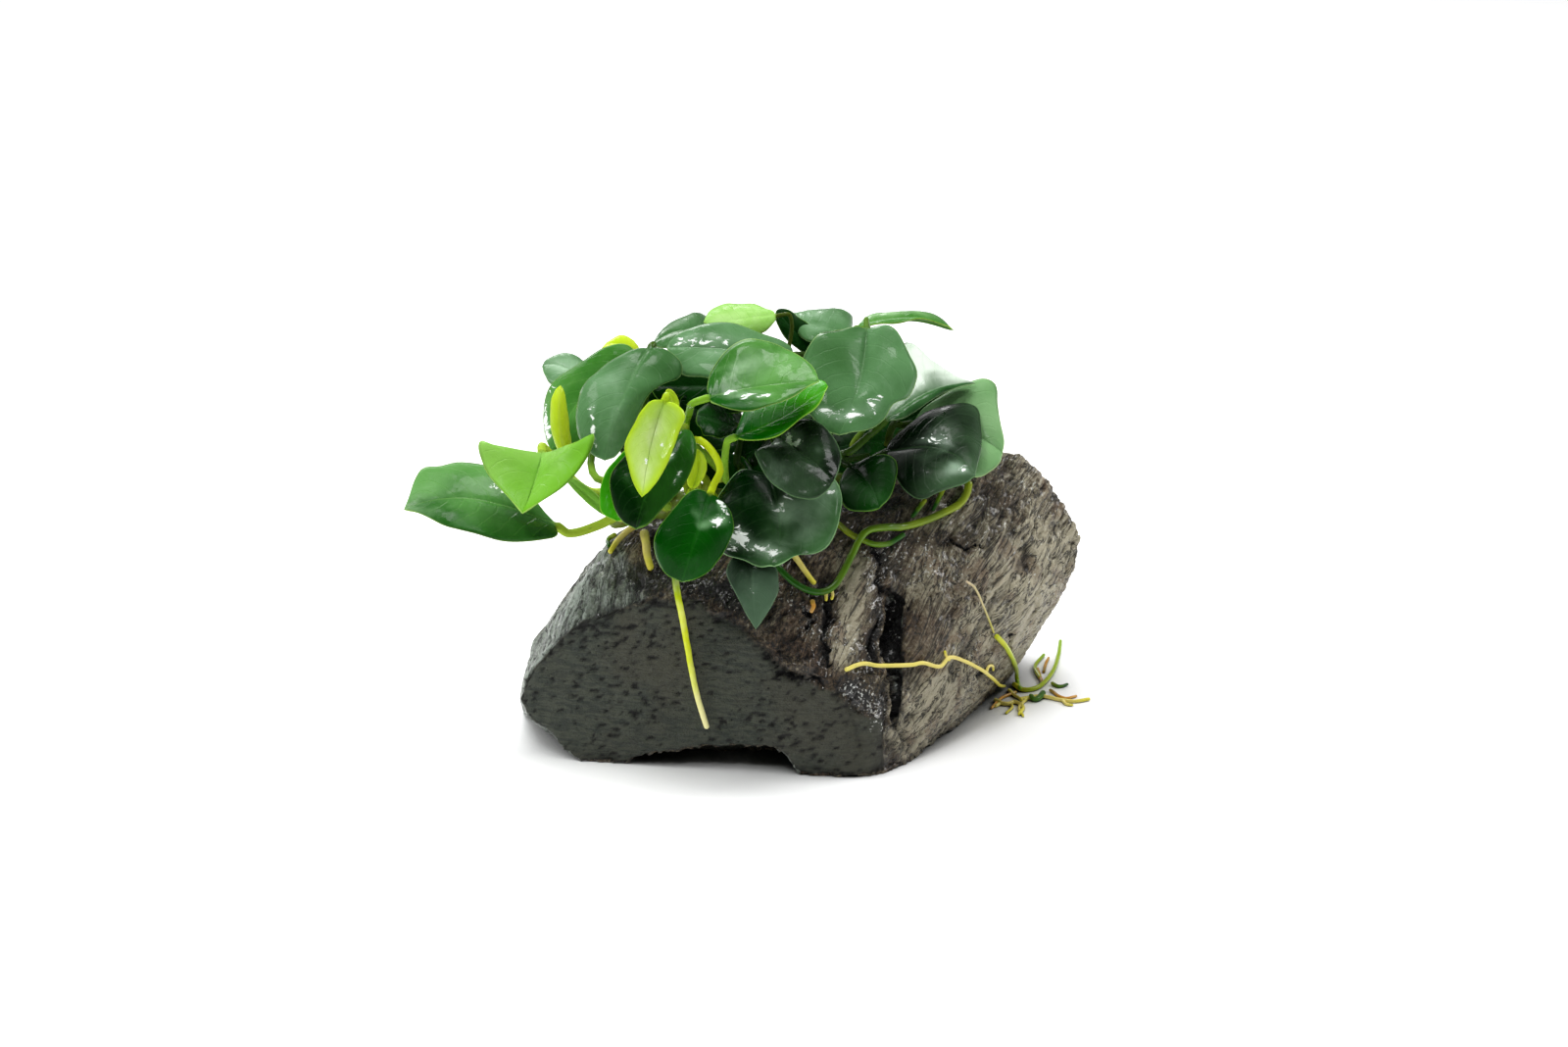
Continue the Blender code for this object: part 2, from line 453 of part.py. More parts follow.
def blade_face(row, s=0.5):
    """Direction out of the blade's upper face, where its middle line is at s."""
    along = midrib(row, s + 0.02) - midrib(row, s - 0.02)
    face = (row["edge_b"] - row["edge_a"]).cross(along).normalized()
    whole = (row["edge_b"] - row["edge_a"]).cross(row["tip"] - row["base"])
    return -face if whole.dot(UPPER_SIDE) < 0 else face


def blade_point(row, s, t):
    """A point of the blade's middle surface; t runs from edge a at -1 to edge b at 1."""
    way, edge, share = edge_way(row, "a" if t < 0 else "b", s)
    face = blade_face(row)
    lift = (face - edge * (face.dot(edge) / edge.length_squared)).normalized()
    out = abs(t)
    swell = row["cup"] * 4 * out * (1 - out) * edge.length
    return midrib(row, s) + way * out + lift * (swell * share)


def blade_ring(row, s):
    """Points round the blade at s: over the upper face from edge a to edge b, then back below."""
    rise = blade_face(row, s) * (BLADE_THICKNESS_MM / 2)
    above = [blade_point(row, s, t) + rise for t in (-BLADE_INNER, 0.0, BLADE_INNER)]
    below = [blade_point(row, s, t) - rise for t in (BLADE_INNER, 0.0, -BLADE_INNER)]
    return [blade_point(row, s, -1.0)] + above + [blade_point(row, s, 1.0)] + below


def crown_seat(row):
    """Foot of the stalk on the creeping stem, and the direction in which it leaves."""
    place, lean_deg = row["crown"]
    line = [Vector(point) for point in RHIZOME_LINE_MM]
    centre = line_at(line, place)
    along = (line_at(line, place + 0.05) - line_at(line, place - 0.05)).normalized()
    up = (Vector((0, 0, 1)) - along * along.z).normalized()
    lean = math.radians(lean_deg)
    return centre, up * math.cos(lean) + up.cross(along) * math.sin(lean)


def blade_start(row):
    """Direction of the middle line where the blade begins."""
    return (midrib(row, BLADE_START) - row["base"]).normalized()


def stalk_line(row):
    """Points of the stalk from its foot to the base of the blade."""
    centre, out = crown_seat(row)
    foot = centre + out * (RHIZOME_RADIUS_MM + FOOT_GAP_MM)
    neck = row["base"] - blade_start(row) * row.get("neck", NECK_MM) - blade_face(row) * NECK_DROP_MM
    return [foot, foot + out * STALK_RISE_MM] + row["stalk"] + [neck, row["base"]]


def circle_ring(centre, tangent, side, radius, hand=1.0):
    """Eight points round a stalk, matched to the order of the blade's points."""
    side = (side - tangent * side.dot(tangent)).normalized()
    top = side.cross(tangent).normalized() * hand
    ring = []
    for index in range(RING_POINTS):
        turn = math.tau * index / RING_POINTS
        ring.append(centre - side * (radius * math.cos(turn)) + top * (radius * math.sin(turn)))
    return ring


def stalk_rings(row):
    """Rings up the stalk, turned so that they meet the blade's first ring without a twist."""
    line = stalk_line(row)
    face = blade_face(row)
    tangent_after = blade_start(row)
    side = row["edge_b"] - row["edge_a"]
    hand = 1.0 if side.cross(tangent_after).dot(face) > 0 else -1.0
    side = (side - tangent_after * side.dot(tangent_after)).normalized()
    count = row.get("rings", STALK_RINGS)
    places = [(len(line) - STALK_END) * (1 - (1 - step / count) ** STALK_CROWDING)
              for step in range(count + 1)]
    rings = []
    for place in reversed(places):
        tangent = (line_at(line, place + 0.08) - line_at(line, place - 0.08)).normalized()
        side = tangent_after.rotation_difference(tangent) @ side
        tangent_after = tangent
        share = place / places[-1]
        radius = STALK_FOOT_RADIUS_MM * (1 - share) + STALK_RADIUS_MM * share
        rings.append(circle_ring(line_at(line, place), tangent, side, radius, hand))
    return list(reversed(rings))


def loft(name, rings):
    """A closed body drawn out of a disc from ring to ring."""
    mesh = bmesh.new()
    bmesh.ops.create_circle(mesh, cap_ends=True, segments=len(rings[0]), radius=1.0)
    mesh.faces.ensure_lookup_table()
    cap = mesh.faces[0]
    place_ring(cap, rings[0])
    copied = bmesh.ops.duplicate(mesh, geom=[cap])["geom"]
    foot = [item for item in copied if isinstance(item, bmesh.types.BMFace)][0]
    place_ring(foot, rings[0])
    for ring in rings[1:]:
        cap = bmesh.ops.extrude_discrete_faces(mesh, faces=[cap])["faces"][0]
        place_ring(cap, ring)
    bmesh.ops.remove_doubles(mesh, verts=mesh.verts, dist=MERGE_M)
    bmesh.ops.triangulate(mesh, faces=mesh.faces[:], quad_method="SHORT_EDGE")
    bmesh.ops.recalc_face_normals(mesh, faces=mesh.faces)
    return mesh_object(name, mesh)


def place_ring(face, ring):
    """The corners of a face at the points of a ring, in millimetres."""
    for loop, point in zip(face.loops, ring):
        loop.vert.co = Vector(point) * MM


def mesh_object(name, mesh):
    """A new object made of an edited mesh."""
    data = bpy.data.meshes.new(name)
    mesh.to_mesh(data)
    mesh.free()
    obj = bpy.data.objects.new(name, data)
    bpy.context.collection.objects.link(obj)
    return obj


def finish(obj, look, smooth=True):
    """Smooth shading and the object's own plain material."""
    colour, roughness = look
    material = bpy.data.materials.new(obj.name + "_material")
    material.use_nodes = True
    shader = material.node_tree.nodes["Principled BSDF"]
    shader.inputs["Base Color"].default_value = (*colour, 1.0)
    shader.inputs["Roughness"].default_value = roughness
    shader.inputs["Metallic"].default_value = 0.0
    material.diffuse_color = (*colour, 1.0)
    obj.data.materials.append(material)
    for polygon in obj.data.polygons:
        polygon.use_smooth = smooth
    return obj


def build_leaf(row):
    """One leaf with its stalk."""
    rings = stalk_rings(row) + [blade_ring(row, s) for s in row.get("stations", BLADE_STATIONS)]
    return finish(loft(row["name"], rings), row["tone"])


def build_rhizome():
    """The creeping stem on top of the wood, rounded off at both ends."""
    line = [Vector(point) for point in RHIZOME_LINE_MM]
    rings = []
    for step in range(RHIZOME_STEPS + 1):
        place = (len(line) - 1) * step / RHIZOME_STEPS
        tangent = (line_at(line, place + 0.05) - line_at(line, place - 0.05)).normalized()
        end = min(step, RHIZOME_STEPS - step)
        share = RHIZOME_ENDS[end] if end < len(RHIZOME_ENDS) else 1.0
        radius = RHIZOME_RADIUS_MM * share
        rings.append(circle_ring(line_at(line, place), tangent, Vector((0, 1, 0)), radius))
    return finish(loft("rhizome", rings), STEM)


def wood_hull():
    """The block as a faceted hull with more points on its faces."""
    mesh = bmesh.new()
    for point in WOOD_POINTS_MM:
        bmesh.ops.create_vert(mesh, co=point)
    bmesh.ops.convex_hull(mesh, input=mesh.verts[:])
    loose = [vert for vert in mesh.verts if not vert.link_faces]
    bmesh.ops.delete(mesh, geom=loose, context="VERTS")
    bmesh.ops.subdivide_edges(mesh, edges=mesh.edges[:], cuts=WOOD_CUTS, use_grid_fill=True)
    bmesh.ops.triangulate(mesh, faces=mesh.faces[:])
    return mesh


def weather(mesh):
    """Uneven weathering of the block; the sawn front face stays nearly flat."""
    mesh.normal_update()
    moves = []
    for vert in mesh.verts:
        spot = vert.co / WEATHER_SIZE_MM
        depth = noise.noise(spot) + 0.5 * noise.noise(spot * 2.3)
        share = SAWN_WEATHER if vert.normal.dot(SAWN_FACE) > SAWN_ALIGNED else 1.0
        moves.append((vert, vert.normal * (depth * WEATHER_DEPTH_MM * share)))
    for vert, move in moves:
        vert.co += move


def cut_flat(mesh):
    """The flat resting face at z = 0."""
    geom = mesh.verts[:] + mesh.edges[:] + mesh.faces[:]
    cut = bmesh.ops.bisect_plane(mesh, geom=geom, dist=0.01, plane_co=(0, 0, 0),
                                 plane_no=(0, 0, 1), clear_inner=True)
    rim = [item for item in cut["geom_cut"] if isinstance(item, bmesh.types.BMEdge)]
    bmesh.ops.contextual_create(mesh, geom=rim)


def cutter(name, rings):
    """A hidden body that cuts a hollow in the wood."""
    obj = loft(name, rings)
    obj.hide_render = True
    obj.display_type = "WIRE"
    return obj


def crack_rings(tree):
    """Wedge of the deep crack down the shoulder: four corners a level."""
    rings = []
    for across, down, half, deep in CRACK_LINE:
        mouth = on_wood(tree, across, down, 0.0)
        front = mouth + CRACK_OUT * CRACK_REACH_MM
        wide = CRACK_ACROSS * (half + (half - CRACK_FLOOR_MM) * CRACK_REACH_MM / deep)
        end = mouth - CRACK_OUT * deep
        floor = CRACK_ACROSS * CRACK_FLOOR_MM
        rings.append([front - wide, front + wide, end + floor, end - floor])
    return rings


def hollow_rings():
    """Outline of the hollow under the front face, in front of the block and at its end."""
    return [[Vector((x, y, z)) for x, z in HOLLOW_OUTLINE_MM] for y in (HOLLOW_FRONT_MM, HOLLOW_BACK_MM)]


def build_wood():
    """The driftwood: weathered block with its crack and its hollow underneath."""
    mesh = wood_hull()
    weather(mesh)
    cut_flat(mesh)
    for vert in mesh.verts:
        vert.co *= MM
    bmesh.ops.recalc_face_normals(mesh, faces=mesh.faces)
    wood = mesh_object("driftwood", mesh)
    crack = cutter("crack_cutter", crack_rings(wood_tree(wood)))
    hollow = cutter("hollow_cutter", hollow_rings())
    for tool in (crack, hollow):
        cut = wood.modifiers.new(tool.name, "BOOLEAN")
        cut.object = tool
        cut.operation = "DIFFERENCE"
        cut.solver = "EXACT"
    return finish(wood, WOOD, smooth=False)


def wood_tree(wood):
    """Search tree of the finished wood, in millimetres."""
    graph = bpy.context.evaluated_depsgraph_get()
    shape = wood.evaluated_get(graph)
    data = shape.to_mesh()
    data.calc_loop_triangles()
    points = [vert.co / MM for vert in data.vertices]
    faces = [tuple(tri.vertices) for tri in data.loop_triangles]
    tree = BVHTree.FromPolygons(points, faces)
    shape.to_mesh_clear()
    return tree


def on_wood(tree, across, down, lift):
    """The point sighted on the wood, lifted off it."""
    near = sighted(across, down, SIGHT_START_MM)
    ray = (sighted(across, down, 0.0) - near).normalized()
    place, normal = tree.ray_cast(near, ray)[:2]
    return place + normal * lift


def on_floor(across, down, lift):
    """The point sighted on the floor, lifted off it."""
    near = sighted(across, down, SIGHT_START_MM)
    ray = sighted(across, down, 0.0) - near
    return near + ray * ((lift - near.z) / ray.z)


def root_points(row, tree):
    """Middle line of a root that lies along the wood or the floor."""
    points = []
    for kind, across, down, *extra in row["line"]:
        if kind == "wood":
            lift = row["radius"] + ROOT_LIFT_MM + sum(extra)
            points.append(on_wood(tree, across, down, lift))
        else:
            points.append(on_floor(across, down, row["radius"] + ROOT_FLOOR_GAP_MM))
    return points


def build_root(row, tree):
    """One root: a thin round body along its line, narrower towards the tip."""
    line = root_points(row, tree)
    steps = (len(line) - 1) * row.get("steps_a_span", 1)
    rings = []
    side = ROOT_START_SIDE
    for step in range(steps + 1):
        share = step / steps
        place = (len(line) - 1) * share
        tangent = (line_at(line, place + 0.05) - line_at(line, place - 0.05)).normalized()
        side = (side - tangent * side.dot(tangent)).normalized()
        top = side.cross(tangent)
        radius = row["radius"] * (1 - ROOT_TAPER * share) * (ROOT_END if step in (0, steps) else 1.0)
        centre = line_at(line, place)
        turns = [math.tau * corner / ROOT_SIDES for corner in range(ROOT_SIDES)]
        rings.append([centre + (side * math.cos(turn) + top * math.sin(turn)) * radius for turn in turns])
    return finish(loft(row["name"], rings), row["tone"])


def clear_scene():
    """Start from an empty scene."""
    for obj in list(bpy.data.objects):
        bpy.data.objects.remove(obj, do_unlink=True)


clear_scene()
WOOD_BODY = build_wood()
WOOD_TREE = wood_tree(WOOD_BODY)
build_rhizome()
for row_of_leaf in LEAVES:
    build_leaf(row_of_leaf)
for row_of_root in ROOTS:
    build_root(row_of_root, WOOD_TREE)
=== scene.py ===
"""Looks of a dwarf anubias on driftwood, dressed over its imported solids."""
import math

import bmesh
import bpy
import numpy as np
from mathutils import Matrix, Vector, noise
from mathutils.bvhtree import BVHTree


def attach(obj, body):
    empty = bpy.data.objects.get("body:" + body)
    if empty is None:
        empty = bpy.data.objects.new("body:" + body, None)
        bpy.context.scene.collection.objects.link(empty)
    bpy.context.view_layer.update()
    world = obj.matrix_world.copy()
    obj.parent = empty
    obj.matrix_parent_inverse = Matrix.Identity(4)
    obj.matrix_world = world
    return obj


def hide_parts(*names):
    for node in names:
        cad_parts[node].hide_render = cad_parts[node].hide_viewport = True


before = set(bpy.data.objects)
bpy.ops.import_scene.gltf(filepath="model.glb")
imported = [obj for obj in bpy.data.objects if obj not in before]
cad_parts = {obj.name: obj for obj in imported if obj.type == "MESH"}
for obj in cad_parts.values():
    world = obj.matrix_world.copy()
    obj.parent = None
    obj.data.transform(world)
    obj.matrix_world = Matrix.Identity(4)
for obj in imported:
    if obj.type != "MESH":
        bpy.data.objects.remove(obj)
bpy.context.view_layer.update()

MM = 0.001

# sighting of the plant: units across and down the view, and millimetres of depth
SIGHT_TILT = math.radians(18.0)
SIGHT_DISTANCE_MM = 850.0
SIGHT_UNIT_MM = 0.225
SIGHT_MIDDLE = (800.0, 534.0)
SIGHT_HEIGHT_MM = 45.0
SIGHT_START_MM = -200.0
VIEW_WIDTH = 1600
SENSOR_MM = 36.0
VIEW_WAY = (0, math.cos(SIGHT_TILT), -math.sin(SIGHT_TILT))
VIEW_UP = (0, math.sin(SIGHT_TILT), math.cos(SIGHT_TILT))
EYE_MM = (0, -SIGHT_DISTANCE_MM * math.cos(SIGHT_TILT),
          SIGHT_HEIGHT_MM + SIGHT_DISTANCE_MM * math.sin(SIGHT_TILT))

# leaves
BLADE_THICKNESS_MM = 0.5
EDGE_THINNING = 0.45
RIM_SHARE = 0.985
TIP_SHARE = 0.985
CORNER_CROWDING = 1.35
BLADE_MIDDLE = 0.45
BLADE_START = 0.06
RING_HALF = 28
BLADE_STATIONS = 60
STALK_STATIONS = 26
VEIN_COUNT = 9
VEIN_SLANT = 0.30
VEIN_BEND = 1.35
QUILT_MM = 0.035
LUMP_MM = 7.5
GROOVE_WIDTH_MM = 0.8
RIB_DEPTH_MM = 0.55
RIB_WIDTH_MM = 0.75
RIM_WIDTH_MM = 0.35
WAVE_SHIFT = 0.31
EDGE_RAGGED = 0.022
OUTLINE_SPOTS = 90
OUTLINE_FARTHEST = 1.3
FINE_STEPS = 12
UPPER_SIDE = Vector((0, -0.5, 1))
FOOT_GAP_MM = 0.25
STALK_RADIUS_MM = 0.8
STALK_FOOT_RADIUS_MM = 1.15
STALK_RISE_MM = 2.5
NECK_MM = 3.0
NECK_DROP_MM = 0.4

# creeping stem
RHIZOME_RADIUS_MM = 3.2
RHIZOME_LINE_MM = (
    (-38.0, -13.0, 50.2),
    (-27.0, -10.0, 52.2),
    (-14.0, -8.0, 54.6),
    (-2.0, -3.0, 55.6),
    (11.0, 2.0, 56.9),
    (25.0, 8.0, 58.6),
    (35.0, 12.0, 59.8),
)

# wood
WOOD_VOXEL_M = 0.00068
WOOD_SOFTENING = 6
WOOD_SEED = 3
GRAIN = Vector((0.35, 0.80, 0.48)).normalized()
GRAIN_STRETCH = 0.9
WOOD_FOOT_M = 0.004
WOOD_PROUD_MM = 0.3
CLEFT_DEPTH_MM = 1.3
BACK_PALENESS = 0.15

# upper edge of the sawn face, as it is sighted
SAWN_EDGE = (
    (500, 730), (531, 712), (537, 692), (548, 672), (565, 652), (587, 637), (615, 625), (648, 613),
    (690, 610), (715, 618), (748, 636), (768, 653), (792, 680), (842, 700), (882, 726), (915, 735),
    (928, 760),
)
SAWN_WAY = (-0.19, -0.96, 0.2)
SAWN_END = 930.0
RIGHT_START = 905
# places of the ringed knot and of the most pitted stretch, as they are sighted
KNOT_MIDDLE = (944.0, 636.0)
PITTED = ((545, 640), (610, 640), (640, 622))
CRACK_LINE = (
    (897, 560), (901, 574), (900, 590), (905, 602), (920, 607), (919, 618), (911, 630), (905, 648),
    (909, 668), (914, 684), (915, 706), (912, 745), (910, 775),
)
# clefts of the crack, cut in and painted black as shade: a sighted line and its half width in units
CLEFTS = (
    (((896, 556), (899, 568), (902, 574), (899, 586), (901, 598), (905, 604)), 2.4),
    (((904, 604), (912, 604), (921, 606), (920, 616)), 3.2),
    (((914, 612), (909, 626), (903, 636)), 6.0),
    (((902, 636), (897, 648), (890, 660)), 4.0),
    (((910, 642), (909, 660), (918, 676)), 7.5),
    (((908, 684), (916, 690), (915, 708), (913, 716), (909, 733)), 2.6),
    (((847, 596), (844, 622), (842, 650), (846, 678)), 2.2),
    (((822, 622), (829, 632), (824, 640)), 2.6),
    (((1033, 648), (1029, 663)), 2.4),
    (((1000, 690), (1012, 684)), 3.0),
    (((970, 552), (985, 560), (1000, 558)), 1.5),
    (((795, 688), (815, 693), (832, 692)), 2.4),
)
# parts of the wood: a sighted line, its half width in units and a strength
# wet parts: they get a clear coat and painted glints
WET_AND_GLINT_PARTS = (
    (((884, 566), (893, 590), (898, 622)), 9.0, 0.9),
    (((850, 645), (872, 655), (880, 678)), 14.0, 0.8),
    (((868, 700), (884, 715), (898, 732)), 13.0, 1.0),
    (((795, 600), (825, 622), (835, 650)), 16.0, 0.6),
    (((905, 556), (940, 570), (975, 590)), 22.0, 0.55),
    (((906, 640), (908, 650)), 3.5, 1.0),
    (((700, 604), (740, 612), (775, 632)), 9.0, 0.35),
    (((1050, 490), (1085, 545)), 20.0, 0.3),
    (((930, 545), (1030, 530), (1060, 600), (1000, 660)), 55.0, 0.24),
    (((620, 585), (700, 590), (790, 600)), 16.0, 0.35),
)
PALE_PARTS = (
    (((872, 580), (866, 620), (858, 665)), 17.0, 0.95),
    (((948, 545), (965, 580)), 26.0, 0.4),
    (((940, 570), (985, 590), (1010, 610)), 30.0, 0.45),
    (((1048, 556), (1030, 600), (985, 660), (930, 750)), 28.0, 0.85),
    (((1085, 560), (1065, 610), (1040, 650)), 22.0, 0.9),
    (((985, 700), (940, 750)), 22.0, 0.4),
)
# darker parts: painted shade under the crown and in the crack, and darker wood elsewhere
SHADE_AND_DARK_PARTS = (
    (((930, 640), (950, 655)), 26.0, 0.55),
    (((845, 600), (842, 660)), 9.0, 0.6),
    (((800, 660), (835, 690)), 20.0, 0.3),
    (((895, 655), (915, 668)), 14.0, 0.8),
    (((920, 545), (985, 552)), 9.0, 0.7),
    (((1005, 500), (1040, 540)), 14.0, 0.3),
    (((640, 590), (700, 590), (760, 610)), 14.0, 0.9),
    (((690, 520), (780, 490), (900, 480)), 34.0, 1.3),
    (((860, 700), (905, 722)), 14.0, 0.6),
)
RUSTY_PARTS = (
    (((806, 655), (832, 668), (838, 690)), 13.0, 0.9),
    (((915, 556), (935, 566)), 10.0, 0.35),
    (((925, 640), (950, 650)), 20.0, 0.35),
)
# forms of the wood: a sighted line, its half width in units and its height in millimetres
WOOD_FORMS = (
    (CRACK_LINE, 20.0, -1.0),
    (((900, 650), (895, 668)), 12.0, -1.2),
    (((884, 575), (874, 610), (868, 650), (862, 684)), 15.0, 0.8),
    (((848, 590), (843, 640), (838, 676)), 5.0, -0.8),
    (((938, 612), (946, 645)), 18.0, 0.9),
    (((1042, 556), (1030, 590), (1006, 610), (985, 650), (966, 676)), 4.5, 0.5),
    (((1047, 560), (1037, 592), (1013, 615), (992, 655), (974, 684)), 6.0, -0.9),
    (((1062, 560), (1050, 620), (1030, 680)), 9.0, 0.5),
    (((895, 690), (886, 712), (893, 735)), 9.0, 0.7),
    (((872, 700), (868, 730), (880, 760)), 4.0, -0.6),
    (((560, 668), (600, 640), (640, 612)), 6.0, -0.5),
)

# roots
ROOT_LIFT_MM = 0.35
ROOT_FLOOR_GAP_MM = 0.02
ROOT_SIDES = 14
ROOT_STEPS = 9
ROOT_TAPER = 0.25

# stage and light
FLOOR_HALF_M = 6.0
FLOOR_COLOUR = (0.93, 0.935, 0.935, 1.0)
# painted contact shadow where the floor is nearly shut in
CONTACT_SHADOW_COLOUR = (0.012, 0.016, 0.010, 1.0)
CONTACT_REACH_M = 0.010
WHITE = (1.0, 1.0, 1.0, 1.0)
ROOM_LIGHT = 0.16
LIGHT_AIM = (0.0, 0.0, 0.05)
# soft panels: place and size in metres, power in watts
PANELS = (
    ("roof", (0.0, 0.12, 1.0), (0.55, 0.40), 8.0),
    ("panel_left", (-0.80, 0.05, 0.60), (0.45, 0.35), 4.0),
    ("panel_right", (0.80, 0.25, 0.60), (0.45, 0.35), 4.0),
    ("window_behind", (-0.25, 0.85, 0.50), (0.60, 0.30), 3.5),
    ("window_front", (-0.20, -0.45, 0.62), (0.16, 0.10), 1.2),
)


def tone(red, green, blue):
    """A colour of the real thing, given from 0 to 255, as the light that it sends back."""
    def linear(value):
        part = value / 255
        return part / 12.92 if part <= 0.04045 else ((part + 0.055) / 1.055) ** 2.4
    return (linear(red), linear(green), linear(blue), 1.0)


def sighted(across, down, depth):
    """A point in millimetres from its place in the front sighting and its depth."""
    eye, ray = Vector(EYE_MM), Vector(VIEW_WAY)
    spread = SIGHT_UNIT_MM / SIGHT_DISTANCE_MM
    ray += Vector((1, 0, 0)) * (across - SIGHT_MIDDLE[0]) * spread
    ray += Vector(VIEW_UP) * (SIGHT_MIDDLE[1] - down) * spread
    return eye + ray * ((depth - eye.y) / ray.y)


# looks of the leaves: slot, roughness, coat, width of the rim, and the tones of the deep and bright
# parts, painted sheen, veins, rim, underside and stalk
LOOKS = {
    "olive": ("leaf_dark", 0.4, 0.5, RIM_WIDTH_MM, (34, 88, 24), (92, 148, 74), (150, 190, 140),
        (130, 178, 96), (150, 190, 84), (52, 92, 50), (150, 176, 50)),
    "deep": ("leaf_dark", 0.42, 0.6, RIM_WIDTH_MM, (0, 30, 0), (44, 104, 30), (110, 160, 108),
        (50, 108, 36), (110, 160, 56), (40, 84, 36), (150, 180, 40)),
    # the dim look is a near-black green that stands for painted shade
    "dim": ("leaf_dark", 0.46, 0.4, RIM_WIDTH_MM, (0, 20, 0), (16, 62, 12), (90, 130, 84), (20, 66, 16),
        (96, 144, 50), (24, 60, 20), (60, 96, 24)),
    "round": ("leaf_dark", 0.42, 0.6, RIM_WIDTH_MM, (0, 52, 0), (12, 84, 8), (120, 168, 116),
        (34, 104, 24), (112, 164, 60), (40, 92, 36), (184, 204, 24)),
    "black": ("leaf_dark", 0.4, 0.8, RIM_WIDTH_MM, (3, 16, 4), (64, 92, 62), (138, 164, 140),
        (70, 100, 66), (98, 134, 88), (48, 74, 56), (70, 110, 34)),
    "front": ("leaf_grey", 0.4, 0.9, RIM_WIDTH_MM, (0, 28, 2), (62, 102, 58), (146, 176, 146),
        (76, 118, 70), (150, 196, 134), (58, 98, 58), (90, 130, 34)),
    "slate": ("leaf_dark", 0.55, 0.25, RIM_WIDTH_MM, (10, 28, 14), (78, 104, 80), (110, 134, 112),
        (86, 112, 86), (104, 134, 100), (48, 74, 56), (70, 110, 34)),
    "grey": ("leaf_grey", 0.42, 0.7, RIM_WIDTH_MM, (58, 100, 52), (88, 132, 84), (150, 182, 150),
        (104, 146, 96), (140, 178, 108), (74, 112, 70), (92, 132, 40)),
    "sheen": ("leaf_grey", 0.36, 0.8, RIM_WIDTH_MM, (16, 62, 18), (80, 126, 74), (212, 226, 210),
        (100, 144, 90), (150, 184, 130), (58, 98, 58), (84, 124, 40)),
    "mid": ("leaf_mid", 0.4, 0.6, RIM_WIDTH_MM, (28, 90, 16), (84, 142, 60), (140, 182, 124),
        (110, 166, 72), (158, 198, 76), (92, 142, 62), (112, 154, 34)),
    "top": ("leaf_mid", 0.38, 0.8, RIM_WIDTH_MM, (16, 78, 8), (98, 158, 74), (164, 202, 156),
        (108, 166, 70), (160, 204, 96), (92, 142, 62), (120, 168, 40)),
    "vivid": ("leaf_mid", 0.4, 0.5, RIM_WIDTH_MM, (0, 94, 0), (66, 162, 14), (140, 192, 104),
        (104, 178, 44), (156, 204, 70), (94, 148, 54), (124, 170, 48)),
    "pale_back": ("leaf_mid", 0.45, 0.4, RIM_WIDTH_MM, (92, 142, 82), (134, 174, 122), (170, 196, 166),
        (140, 180, 120), (172, 204, 136), (96, 142, 84), (104, 142, 48)),
    "light": ("leaf_light", 0.48, 0.2, RIM_WIDTH_MM, (104, 168, 34), (134, 186, 84), (176, 212, 138),
        (150, 198, 100), (170, 210, 104), (128, 176, 70), (158, 186, 56)),
    "yellow": ("leaf_yellow", 0.42, 0.4, RIM_WIDTH_MM, (166, 200, 22), (200, 220, 50), (210, 228, 130),
        (200, 222, 90), (200, 226, 60), (150, 190, 40), (164, 192, 34)),
    "young": ("leaf_yellow", 0.36, 0.7, 2.4, (160, 200, 50), (184, 216, 108), (222, 236, 180),
        (190, 220, 112), (176, 212, 10), (150, 190, 20), (160, 190, 30)),
}


def leaf_row(name, look, points, crown, stalk, shape):
    """One leaf: the five points of its blade, its seat on the stem and its stalk's way up."""
    row = {"name": name, "look": look, "crown": crown, "stalk": stalk, "cup": 0.10,
           "a": (0.45, 0.6), "b": (0.45, 0.6), "wave": 0.35, "waves": 2.6, "lump": 0.30,
           "side": 0.0, "tipward": 0.0, "bloom": (), "glints": (), "gloss": 0.5, "lit": 0.15,
           "groove": 0.13, "stalk_size": 1.0, "shade": 0.0, "neck": NECK_MM}
    row.update(zip(("base", "mid", "tip", "edge_a", "edge_b"), points))
    row.update(shape)
    return row


def leaf(name, look, base, mid, tip, edge_a, edge_b, crown, stalk=(), **shape):
    """A leaf that shows in front, with its points as they are sighted."""
    places = (base, mid, tip, edge_a, edge_b)
    row = leaf_row(name, look, [sighted(*point) for point in places], crown,
                   [sighted(*point) for point in stalk], shape)
    row["places"] = places
    return row


def dim_leaf(name, *places, **shape):
    """A small leaf deep in the crown, dark as painted shade, with its stalk in painted shade."""
    return leaf(name, "dim", *places, tipward=-0.5, gloss=0.1, lit=0.0, **shape)


def back_leaf(name, look, base, mid, tip, edge_a, edge_b, crown, stalk=()):
    """A leaf of the rear, with its points given straight in millimetres."""
    points = [Vector(point) for point in (base, mid, tip, edge_a, edge_b)]
    return leaf_row(name, look, points, crown, [Vector(point) for point in stalk], {})
